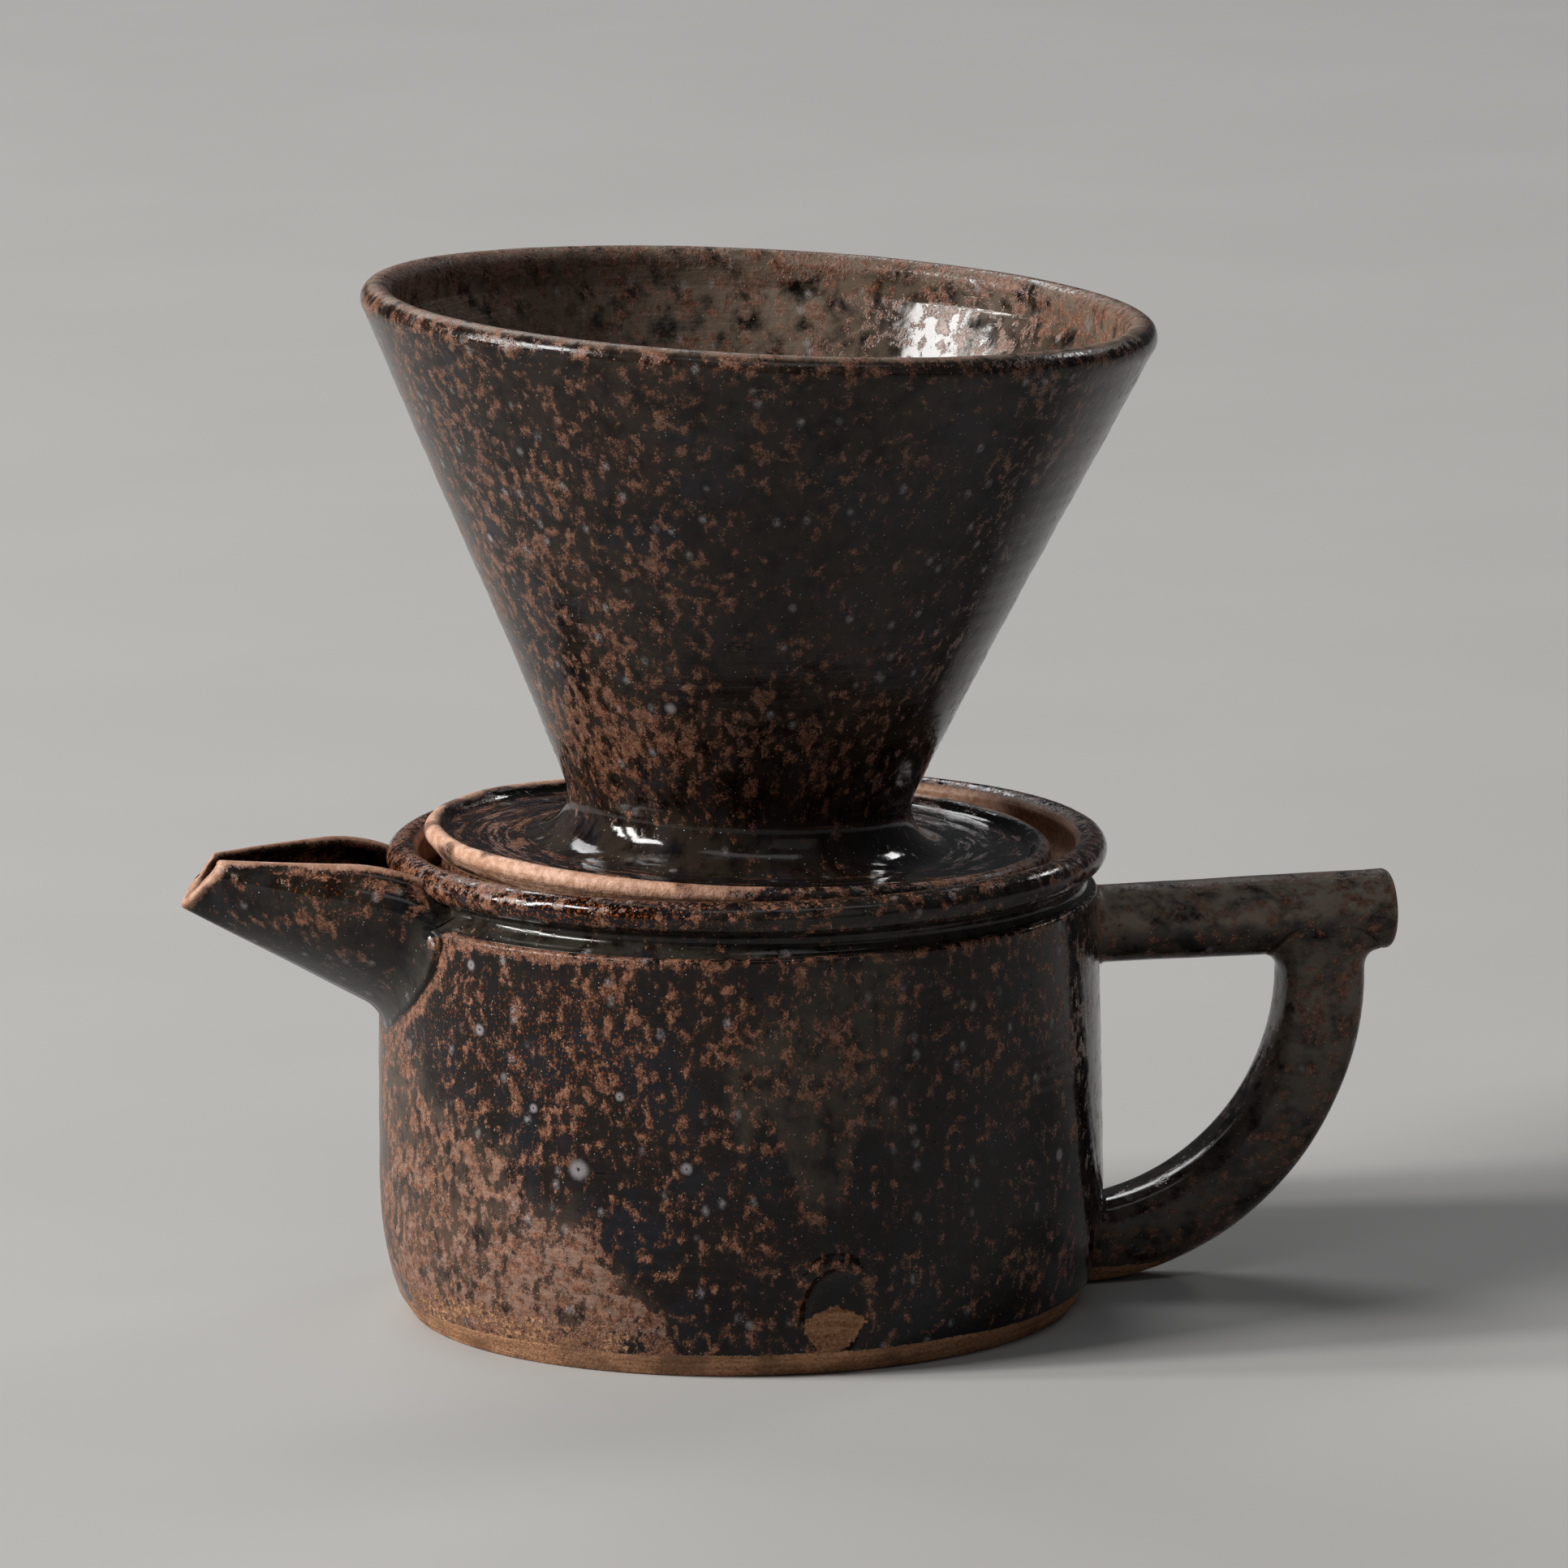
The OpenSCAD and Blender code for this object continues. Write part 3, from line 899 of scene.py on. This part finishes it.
def make_dripper_cone():
    fillet_arc = arc(flare_r, neck_fillet + 0.02, neck_fillet, 264, 180 - math.degrees(neck_lean), 20)
    side = []
    for share in np.arange(1, 12) / 12:
        z = neck_z + (cone_top_z - neck_z) * share
        sag = 0.9 * math.sin(math.pi * share) * (1 - share)
        side.append((cone_skin(z) - sag, z, 0))
    rim = arc(rim_r, cone_h, rim_bead_r, -28, 165, 20)
    cup_z = 8.0
    cup_r = cone_skin(cup_z) - cone_t
    cup = cup_corners(cup_r, outlet_r + 0.4, cup_z, 0)
    sunk_z = -0.12
    corners = [(flare_r + 0.5, sunk_z, 0), *fillet_arc, *side, (cone_top_r, cone_top_z, 1.4)]
    corners += [*rim, (cone_top_r - cone_t + 0.1, cone_top_z, 2.0), *cup[:-1]]
    corners.append((outlet_r + 0.3, sunk_z, 0.2))
    points, normals, faces = turned(corners, 0.78)
    height = points[:, 2]
    radius = radius_of(points)
    outside = smooth(-0.3, 0.3, (normals[:, :2] * points[:, :2]).sum(1) / np.maximum(radius, 1))
    free = smooth(1.5, 8, height)
    push = 0.28 * fractal(points, 42, 2, 139) * free
    push += throwing_rings(points, 2.6, 0.035, 149) * free * outside
    push += throwing_rings(points, 9.0, 0.06, 151) * free
    low = span(height, 10, 24, 3)
    push += 0.06 * low * outside * np.sin(height * 4.1 + 2 * fractal(points, 20, 1, 157))
    push += 0.04 * fractal(points, 4, 2, 163) * smooth(cone_top_z - 2, cone_h, height)
    points = points + normals * push[:, None]
    points[:, 2] -= points[:, 0] * math.tan(rim_tilt) * smooth(30, cone_h, height)
    cone = make_mesh("dripper_cone_wall", tilted(points), faces)
    paint_cone(cone)
    return cone


def paint_cone(cone):
    points = untilted(vertices_mm(cone))
    radius, a, z = cylinder(points)
    inside = smooth(-1.6, -2.6, radius - cone_skin(z)) * smooth(2, 5, z)
    ragged = fractal(points * [1, 1, 0.7], 10, 4, 167)
    broad = fractal(points, 26, 2, 173)
    left = smooth(25, -45, a)
    # rust on the outside, with more low on the left and less in the middle
    rust = 0.28 + 0.09 * broad + 0.10 * left + 0.05 * ragged
    rust += 0.10 * patch(a, z + 4 * ragged, -95, -20, 18, 66, 18, 8)
    rust -= 0.12 * patch(a + 8 * ragged, z, -40, 40, 68, 80, 10, 3)
    rust += 0.20 * patch(a + 6 * ragged, z + 3 * ragged, -70, 28, 13, 24, 10, 3)
    rust -= 0.10 * patch(a, z + 2 * ragged, -10, 110, 28, 60, 22, 8)
    rust += 0.05 * np.sin(z * 1.9 + 3 * broad) * smooth(30, 12, z)
    bare_foot = smooth(3.0, 7.5, z + ragged)
    neck = smooth(14, 8, z) * (1 - inside)
    rust = (rust - 0.07 * neck) * bare_foot
    amber = (0.15 + 0.40 * neck * left) * bare_foot + 0.35 * patch(a, z, -80, 30, 10, 24, 12, 3)
    # the rim, where the glaze runs thin
    rim = smooth(cone_top_z - 0.5, cone_h + 0.3, z + 0.7 * ragged)
    outer_rim = rim * smooth(0.6, 1.6, radius - rim_r)
    rust += 0.14 * rim * (0.6 + 0.6 * smooth(35, 80, np.abs(a)))
    amber += 0.5 * rim * smooth(10, -50, a)
    tan = 0.38 * rim * smooth(60, 110, np.abs(a)) * (1 + 0.5 * ragged)
    tan = np.maximum(tan, 0.30 * outer_rim * smooth(70, 40, a) * smooth(0, 45, a))
    # the inside, with angles from the middle of its far side
    b = degrees_from_front(-points)
    rust_in = 0.47 + 0.10 * broad + 0.10 * ragged + 0.06 * smooth(60, 79, z)
    rust_in = rust_in - 0.14 * patch(b, z, -70, -12, 40, 74, 14, 8)
    rust = np.where(inside > 0.5, rust_in, rust)
    grey = 0.10 + 0.08 * broad + inside * 0.95 * (1 - 0.75 * patch(b, z, -75, -16, 10, 78, 12, 8))
    dull = inside * 0.85 * (1 - patch(b, z, -90, -10, 10, 84, 14, 8))
    dull += 0.30 * smooth(12, 22, z) * (1 - inside)
    grain = round_grain(points, 0.80 * z, 0.6 * radius + 16)
    paint(cone, grain, rust=rust, amber=amber, tan=tan, grey=grey, dull=dull)


def make_dripper_saucer():
    # a flat underside, an upturned bead, and a shallow dish that rises to the cone's neck
    bead_x = saucer_r - saucer_bead_r
    corners = [(outlet_r, 0, 0.4), (outlet_r, -plate_t, 0.5), (seat_out_r, -plate_t, 1.2)]
    bead = arc(bead_x, 0.0, saucer_bead_r, -40, 150, 16)
    corners += [*bead, (bead_x - 2.0, -0.05, 1.2), (39.5, -0.25, 4), (34.8, -0.01, 3), (29, 0, 2)]
    points, normals, faces = turned(corners, 0.5)
    radius = radius_of(points)
    angle = angle_of(points)
    upper = smooth(0.4, 0.9, normals[:, 2])
    wobble = 0.6 * fractal(points, 20, 2, 179)
    spiral = np.sin(math.tau * (radius / 3.1 + angle / math.tau + wobble))
    dish = smooth(35.5, 38, radius) * smooth(bead_x - 0.5, bead_x - 3, radius)
    points[:, 2] += upper * dish * (0.010 * spiral + 0.030 * fractal(points, 14, 2, 181))
    edge = smooth(bead_x - 2.2, bead_x, radius)
    push = edge * (0.16 * fractal(points, 17, 2, 191) + 0.06 * fractal(points, 3, 2, 193))
    points = points + normals * push[:, None]
    saucer = make_mesh("dripper_saucer_plate", tilted(points), faces)
    points = untilted(vertices_mm(saucer))
    radius, a, z = cylinder(points)
    ragged = fractal(points, 6, 4, 197)
    # painted shade: from the front round to the right and back, the pale rim is darkened and the black
    # glaze is drawn further over it, as if that side were in shadow
    painted_shade = smooth(-35, 35, a) * smooth(150, 95, a)
    reach = radius + 0.5 * ragged - 0.7 * hill(a, -62, 12) - 0.7 * painted_shade
    rim = smooth(bead_x - 1.35, bead_x - 0.55, reach)
    notches = smooth(0.15, 0.45, fractal(points, 8, 2, 227))
    rim_tan = rim * (0.98 - 0.56 * painted_shade - 0.5 * notches + 0.26 * fractal(points, 4, 3, 223))
    under = smooth(-0.6, -1.6, z)
    left = smooth(-15, -60, a) * smooth(-150, -110, a)
    rust = 0.20 + 0.22 * left + 0.1 * ragged + 0.30 * rim
    amber = 0.12 + 0.8 * left
    bare = under * smooth(-2.6, -3.2, z)
    swirl = angle_of(points) - 0.055 * radius
    grain = np.stack([9 * np.cos(swirl), 9 * np.sin(swirl), 1.4 * radius], axis=1)
    grain = np.where(rim[:, None] > 0.5, points, grain)
    tan = rim_tan * (1 - bare)
    paint(saucer, grain, rust=rust, amber=amber, tan=tan, bare=bare, grey=0.1, dull=rim)
    return saucer


def make_seat_ring():
    seat_in_r = 40.0
    top = seat_high[2]
    corners = [(seat_in_r, shoulder_z + 0.05, 0.6), (seat_out_r - 0.02, shoulder_z + 0.05, 0.8)]
    corners += [(seat_out_r - 0.02, top, 0.1), (seat_in_r, top, 0.1)]
    points, normals, faces = turned(corners, 0.5, turns=300)
    x = points[:, 0]
    roof = dish_z - plate_t * math.cos(lean) - (x + plate_t * math.sin(lean)) * math.tan(lean)
    lift = (points[:, 2] - shoulder_z) / (top - shoulder_z)
    points[:, 2] = shoulder_z + lift * (roof + 0.12 - shoulder_z)
    push = 0.05 * fractal(points, 5, 3, 199)
    points = points + normals * (push * smooth(0, 0.2, lift) * smooth(1, 0.8, lift))[:, None]
    ring = make_mesh("dripper_seat_foot", points, faces)
    points = vertices_mm(ring)
    ragged = fractal(points, 6, 3, 211)
    bare = smooth(shoulder_z + 2.6, shoulder_z + 1.4, points[:, 2] + 0.6 * ragged)
    paint(ring, points, rust=0.6 + 0.2 * ragged, bare=bare, tan=0.35)
    return ring


# ---- materials


class Signal:
    """Output of a shader node. Sums and products of signals add a Math node each."""

    def __init__(self, graph, socket):
        self.graph = graph
        self.socket = socket

    def __add__(self, other):
        return self.graph.math("ADD", self, other)

    def __radd__(self, other):
        return self.graph.math("ADD", other, self)

    def __sub__(self, number):
        return self + -number

    def __mul__(self, other):
        return self.graph.math("MULTIPLY", self, other)


class Graph:
    """Short ways to add shader nodes. Every method that adds one returns its signal."""

    def __init__(self, name):
        self.material = bpy.data.materials.new(name)
        self.material.use_nodes = True
        self.tree = self.material.node_tree
        self.shader = self.tree.nodes["Principled BSDF"]

    def add(self, kind, inputs, output=0, **settings):
        made = self.tree.nodes.new(kind)
        for key, value in settings.items():
            setattr(made, key, value)
        for key, value in inputs.items():
            self.set(made.inputs[key], value)
        return Signal(self, made.outputs[output])

    def set(self, socket, value):
        if isinstance(value, Signal):
            self.tree.links.new(value.socket, socket)
        else:
            socket.default_value = value

    def math(self, operation, a, b=0.0, c=0.0):
        return self.add("ShaderNodeMath", {0: a, 1: b, 2: c}, operation=operation)

    def linear(self, a, gain, base):
        """a * gain + base in one node."""
        return self.math("MULTIPLY_ADD", a, gain, base)

    def ramp(self, value, low, high):
        inputs = {"Value": value, "From Min": low, "From Max": high}
        return self.add("ShaderNodeMapRange", inputs, interpolation_type="SMOOTHSTEP")

    def mix(self, factor, a, b):
        inputs = {0: factor, 6: a, 7: b}
        return self.add("ShaderNodeMix", inputs, output=2, data_type="RGBA")

    def scaled(self, vector, scale):
        inputs = {0: vector, 1: scale}
        return self.add("ShaderNodeVectorMath", inputs, operation="MULTIPLY")

    def distance(self, a, b):
        inputs = {0: a, 1: b}
        return self.add("ShaderNodeVectorMath", inputs, output="Value", operation="DISTANCE")

    def blend(self, factor, a, b):
        return self.add("ShaderNodeMix", {0: factor, 2: a, 3: b}, data_type="FLOAT")

    def noise(self, vector, size, detail=2.0, rough=0.5, warp=0.0):
        """Noise about 0.5, whose features are about size millimetres wide."""
        inputs = {"Vector": vector, "Scale": 1 / size, "Detail": detail}
        inputs.update({"Roughness": rough, "Distortion": warp})
        return self.add("ShaderNodeTexNoise", inputs)

    def cells(self, vector, size, output="Distance"):
        inputs = {"Vector": vector, "Scale": 1 / size}
        return self.add("ShaderNodeTexVoronoi", inputs, output=output)

    def field(self, name):
        return self.add("ShaderNodeAttribute", {}, output="Fac", attribute_name=name)

    def vector_field(self, name):
        return self.add("ShaderNodeAttribute", {}, output="Vector", attribute_name=name)

    def millimetres(self):
        place = self.add("ShaderNodeTexCoord", {}, output="Object")
        return self.scaled(place, (1 / MM, 1 / MM, 1 / MM))


def colour(r, g, b):
    return (r, g, b, 1.0)


GLAZE_IOR = 1.32
THIN_ROUGHNESS = 0.42
CLAY_ROUGHNESS = 0.88
BLACK = colour(0.0036, 0.0024, 0.0020)
BLUE_BLACK = colour(0.0052, 0.0056, 0.0090)
WARM_BROWN = colour(0.022, 0.0082, 0.0038)
RUST_DARK = colour(0.070, 0.025, 0.0125)
RUST_PALE = colour(0.290, 0.138, 0.084)
RUST_MATT = colour(0.235, 0.158, 0.124)
SLATE_VEIL = colour(0.037, 0.033, 0.026)
PATCH_VEIL = colour(0.068, 0.037, 0.024)
BROWN_VEIL = colour(0.138, 0.102, 0.074)
# pale grey satin veil of the handle, partly painted light on the top of the bar
BAR_VEIL_AND_SHEEN = colour(0.225, 0.182, 0.140)
AMBER = colour(0.165, 0.042, 0.008)
EMBER = colour(0.320, 0.062, 0.015)
TAN = colour(0.370, 0.195, 0.120)
TAN_PALE = colour(0.560, 0.350, 0.250)
CLAY = colour(0.225, 0.095, 0.042)
CLAY_PALE = colour(0.440, 0.245, 0.138)
CLAY_DARK = colour(0.090, 0.043, 0.023)
SPECK = colour(0.560, 0.530, 0.500)
MILKY = colour(0.290, 0.270, 0.275)


def dots(g, place, size, radius, share, channel, soft=0.5):
    """Round dots in a share of Voronoi cells: size is the cell, radius a share of it."""
    pick = g.add("ShaderNodeSeparateColor", {0: g.cells(place, size, "Color")}, output=channel)
    dot = g.ramp(g.cells(place, size), radius, radius * soft)
    return dot * g.ramp(pick, 1 - share, 1.02 - share)


def glaze_material(name, spots=(), gloss=0.07, veil_colour=SLATE_VEIL, patch_veil=None, rust_gain=1.0):
    """Tenmoku glaze: black where thick, rust where it breaks, with veils, amber and bare clay."""
    g = Graph(name)
    place = g.millimetres()
    grain = g.vector_field("grain")
    rust, bare, grey, amber, tan, dull = (g.field(n) for n in FIELDS)

    # flecks of rust, with a stippled edge and a warm halo
    islands = g.cells(grain, 2.7)
    fine = g.noise(grain, 0.45, 2.0, 0.6)
    stipple = g.noise(place, 0.26, 2.0, 0.6)
    level = g.noise(grain, 1.5, 3.0, 0.55)
    clusters = g.noise(grain, 6.0, 2.0)
    for noise, gain in ((clusters, 0.30), (islands, -0.26), (fine, 0.26), (stipple, 0.36)):
        level = g.linear(noise, gain, level)
    level -= 0.36
    cover = g.linear(rust, -0.42, 0.705)
    fleck = g.ramp(level, cover - 0.07, cover + 0.11)
    halo = g.ramp(level, cover - 0.15, cover + 0.02)
    tone = g.noise(place, 0.9, 3.0, 0.65) * 0.55 + stipple * 0.45
    dark, pale = (colour(*(c * rust_gain for c in tint[:3])) for tint in (RUST_DARK, RUST_PALE))
    rust_colour = g.mix(g.ramp(tone, 0.39, 0.65), dark, pale)
    matt = dull * g.ramp(g.noise(g.scaled(place, (1, 1, 1.8)), 2.6, 5.0, 0.65), 0.42, 0.62)
    rust_colour = g.mix(matt * 0.7, rust_colour, RUST_MATT)

    # the thick glaze, from blue-black to a translucent brown
    depth = g.ramp(g.noise(grain, 12.0, 3.0), 0.42, 0.66)
    cool = g.ramp(g.noise(place, 9.0, 3.0), 0.50, 0.64)
    deep = g.mix(cool, BLACK, BLUE_BLACK)
    deep = g.mix(g.linear(halo, 0.6, depth * 0.2), deep, WARM_BROWN)
    veil = grey * g.ramp(g.noise(grain, 3.4, 6.0, 0.62), 0.32, 0.60)
    body = g.mix(veil, deep, g.mix(dull, veil_colour, patch_veil or veil_colour))
    glow_low = g.linear(amber, -0.22, 0.76)
    glow = g.ramp(fine, glow_low, glow_low + 0.12) * amber
    body = g.mix(glow, body, AMBER)
    ember = dots(g, place, 0.70, 0.24, 0.34, 1)
    body = g.mix(ember * (amber * 0.8), body, EMBER)
    body = g.mix(fleck * 0.94, body, rust_colour)

    # pale specks and milky spots, where gas came through the glaze
    milky = dots(g, g.scaled(place, (1, 1, 0.75)), 3.7, 0.25, 0.56, 1, 0.1)
    milky *= g.ramp(tone, 0.36, 0.62)
    body = g.mix(milky * 0.7, body, MILKY)
    speck = dots(g, place, 0.85, 0.15, 0.30, 0)
    body = g.mix(speck * 0.5, body, SPECK)
    pits = 0.0
    for centre, radius, spot_colour in spots:
        away = g.distance(place, centre) + tone * (0.9 * radius)
        body = g.mix(g.ramp(away, radius * 2.6, radius * 1.5) * 0.55, body, BLACK)
        disc = g.ramp(away, radius * 1.75, radius * 0.95) * g.linear(tone, 0.9, 0.1)
        pit = g.ramp(away, radius * 0.68, radius * 0.52)
        body = g.mix(disc, body, spot_colour)
        body = g.mix(pit * 0.85, body, BLACK)
        pits += pit

    # edges where the glaze runs thin, and bare clay
    crumble = g.noise(place, 0.8, 4.0, 0.65)
    thin = g.ramp(tan + g.linear(crumble, 1.3, -0.65), 0.3, 0.52)
    edge_tone = g.ramp(g.noise(grain, 1.3, 4.0, 0.65), 0.36, 0.64)
    tan_colour = g.mix(edge_tone, TAN, TAN_PALE)
    tan_colour = g.mix(g.ramp(tan, 0.85, 0.45), tan_colour, rust_colour)
    body = g.mix(thin * 0.96, body, tan_colour)
    naked = g.ramp(bare + g.linear(crumble, 1.1, -0.55), 0.38, 0.56)
    sand = g.noise(place, 0.5, 3.0, 0.7)
    scratches = g.noise(g.scaled(place, (0.08, 0.08, 1.6)), 1.0, 3.0, 0.6)
    clay = g.mix(g.ramp(sand * 0.6 + scratches * 0.4, 0.36, 0.64), CLAY, CLAY_PALE)
    grit = dots(g, place, 1.1, 0.2, 0.7, 0)
    clay = g.mix(grit * 0.8, clay, CLAY_DARK)
    clay = g.mix(g.ramp(g.noise(place, 6.0, 3.0), 0.45, 0.65) * 0.55, clay, CLAY_DARK)
    body = g.mix(naked, body, clay)

    # roughness
    rough = g.linear(fleck, 0.17, gloss)
    rough += veil * 0.12
    rough = g.linear(dull, 0.24, rough)
    rough += g.linear(tone, 0.1, -0.05)
    rough = g.blend(thin, rough, THIN_ROUGHNESS)
    rough = g.blend(naked, rough, CLAY_ROUGHNESS)

    # height in millimetres
    peel = g.noise(place, 2.6, 2.0, 0.4)
    height = g.linear(peel, 0.042, fleck * 0.012)
    height = g.linear(stipple, g.linear(fleck, 0.022, 0.004), height)
    height = g.linear(g.ramp(g.cells(place, 2.7), 0.10, 0.03), -0.05, height)
    height = g.linear(pits, -0.20, height)
    height += dull * g.linear(crumble, 0.1, scratches * 0.12)
    grains = g.linear(sand, 0.22, scratches * 0.16)
    grains += grit * -0.1
    height += naked * grains
    height += thin * (crumble * 0.08)
    bump = g.add("ShaderNodeBump", {"Strength": 1.0, "Distance": MM, "Height": height})

    g.set(g.shader.inputs["Base Color"], body)
    g.set(g.shader.inputs["Roughness"], rough)
    g.set(g.shader.inputs["Normal"], bump)
    g.shader.inputs["IOR"].default_value = GLAZE_IOR
    return g.material


def floor_material():
    g = Graph("studio_floor")
    place = g.millimetres()
    tone = g.noise(place, 90.0, 3.0)
    pale = g.mix(g.ramp(tone, 0.3, 0.7), colour(0.36, 0.357, 0.350), colour(0.37, 0.367, 0.360))
    g.set(g.shader.inputs["Base Color"], pale)
    g.shader.inputs["Roughness"].default_value = 0.9
    g.shader.inputs["Specular IOR Level"].default_value = 0.15
    return g.material


def on_wall(degrees, z):
    """Place on the pot wall at an angle from the camera's side."""
    angle = front + math.radians(degrees)
    radius = float(wall_radius(z))
    return (radius * math.cos(angle), radius * math.sin(angle), z)


def on_cone(degrees, z):
    """Place on the cone's outside at a height above the dish."""
    angle = front + math.radians(degrees)
    radius = cone_skin(z)
    spot = tilted(np.array([[radius * math.cos(angle), radius * math.sin(angle), z]]))
    return tuple(spot[0])


PALE_RING = colour(0.34, 0.31, 0.33)
YELLOW_RING = colour(0.42, 0.27, 0.05)
# Degrees from the front, height and radius of each pale spot on the wall
PALE_SPOTS = [
    (-26, 31.5, 1.5),
    (-8.5, 32.5, 0.9),
    (-45, 50.5, 0.9),
    (-47, 60, 0.8),
    (-34, 40, 0.7),
    (-19, 43, 0.7),
    (60, 28, 1.0),
    (150, 40, 1.3),
]
WALL_SPOTS = [(on_wall(a, z), radius, PALE_RING) for a, z, radius in PALE_SPOTS]
SPOUT_SPOTS = [((-76.8, -3.6, 69.8), 1.25, YELLOW_RING)]
CONE_SPOTS = [
    (on_cone(-19, 25), 1.0, PALE_RING),
    (on_cone(-60, 48), 0.8, PALE_RING),
    (on_cone(130, 50), 1.1, PALE_RING),
]


# ---- assembly


def place_piece(piece, body, node, slot, material):
    piece.data.materials.clear()
    piece.data.materials.append(material)
    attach(piece, body)
    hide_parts(node)


def build_object():
    wall = make_pot_wall()
    spout, seam = make_spout()
    paint_pot_wall(wall, seam)
    pot_glaze = glaze_material("tenmoku_pot", WALL_SPOTS, patch_veil=PATCH_VEIL)
    cone_glaze = glaze_material("tenmoku_cone", CONE_SPOTS, veil_colour=BROWN_VEIL, rust_gain=0.8)
    spout_glaze = glaze_material("tenmoku_spout", SPOUT_SPOTS)
    plain_glaze = glaze_material("tenmoku_plain")
    satin_glaze = glaze_material("tenmoku_handle", gloss=0.08, veil_colour=BAR_VEIL_AND_SHEEN, rust_gain=0.85)
    dish_glaze = glaze_material("tenmoku_dish", gloss=0.03)
    pieces = [
        (wall, "pot", "pot_wall", "dark_glaze", pot_glaze),
        (spout, "pot", "spout", "dark_glaze", spout_glaze),
        (make_pot_floor(), "pot", "pot_floor", "dark_glaze", plain_glaze),
        (make_pot_collar(), "pot", "pot_collar", "lip_glaze", plain_glaze),
        (make_pot_ledge(), "pot", "pot_ledge", "bare_clay", plain_glaze),
        (make_handle_bar(), "pot", "handle_bar", "handle_glaze", satin_glaze),
        (make_handle_arm(), "pot", "handle_arm", "handle_glaze", satin_glaze),
        (make_dripper_cone(), "dripper", "dripper_cone", "cone_glaze", cone_glaze),
        (make_dripper_saucer(), "dripper", "dripper_saucer", "saucer_glaze", dish_glaze),
        (make_seat_ring(), "dripper", "dripper_seat_ring", "bare_clay", plain_glaze),
    ]
    for row in pieces:
        place_piece(*row)


def build_stage():
    bpy.ops.mesh.primitive_circle_add(vertices=96, radius=6.0, fill_type="NGON")
    floor = bpy.context.object
    floor.name = "studio_floor"
    floor.data.materials.append(floor_material())
    world = bpy.data.worlds.new("studio")
    world.use_nodes = True
    background = world.node_tree.nodes["Background"]
    background.inputs["Color"].default_value = colour(0.90, 0.94, 1.0)
    background.inputs["Strength"].default_value = 0.05
    bpy.context.scene.world = world


view_azimuth = math.radians(-12)
aim_point = Vector((0, 0, 0.08))


def from_camera(right, away, up):
    """Place given as seen from the camera: to its right, away from it, and up."""
    cos, sin = math.cos(view_azimuth), math.sin(view_azimuth)
    return (right * cos - away * sin, right * sin + away * cos, up)


# Name, place from the camera, size in metres, watts and tint of each light
SOFTBOXES = [
    ("key_far", (-3.17, -0.13, 1.47), (0.30, 1.25), 62, (1, 0.97, 0.93)),
    ("key_near", (-3.09, -0.74, 1.47), (0.30, 1.25), 66, (1, 0.97, 0.93)),
    ("high", (-2.48, -0.90, 2.27), (1.1, 0.62), 92, (1, 0.98, 0.96)),
    ("top", (0.4, -1.3, 2.8), (2.6, 0.6), 8, (0.98, 0.99, 1)),
    ("window", (-1.0, 2.6, 2.4), (2.2, 0.8), 42, (0.98, 0.99, 1)),
    ("back", (2.4, 2.6, 2.35), (0.95, 0.40), 18, (1, 0.98, 0.96)),
    ("fill", (2.0, -2.4, 1.6), (1.6, 1.6), 2.5, (1, 0.98, 0.96)),
]


def add_softbox(name, place, size, power, tint):
    """Rectangular light that faces the middle of the set."""
    place = Vector(from_camera(*place))
    data = bpy.data.lights.new(name, "AREA")
    data.shape = "RECTANGLE"
    data.size, data.size_y = size
    data.energy = power
    data.color = tint
    lamp = new_object(name, data)
    lamp.location = place
    lamp.rotation_euler = (aim_point - place).to_track_quat("-Z", "Y").to_euler()


def add_camera():
    elevation, roll = math.radians(10.93), math.radians(-0.616)
    distance, lens = 1.8487, 281.1
    middle = Vector((0, 0, 0.07965))
    aim = middle + Vector(from_camera(0.00708, 0, 0))
    back = Vector(from_camera(0, -math.cos(elevation), math.sin(elevation)))
    data = bpy.data.cameras.new("camera")
    data.lens = lens
    data.clip_start, data.clip_end = 0.1, 30
    camera = new_object("camera", data)
    camera.location = middle + back * distance
    facing = (aim - camera.location).to_track_quat("-Z", "Y")
    camera.rotation_mode = "QUATERNION"
    camera.rotation_quaternion = facing @ Quaternion((0, 0, 1), roll)
    bpy.context.scene.camera = camera


add_camera()
build_stage()
for softbox in SOFTBOXES:
    add_softbox(*softbox)
build_object()

view = bpy.context.scene.view_settings
view.view_transform = "Standard"
view.look = "None"
view.exposure = 0.0
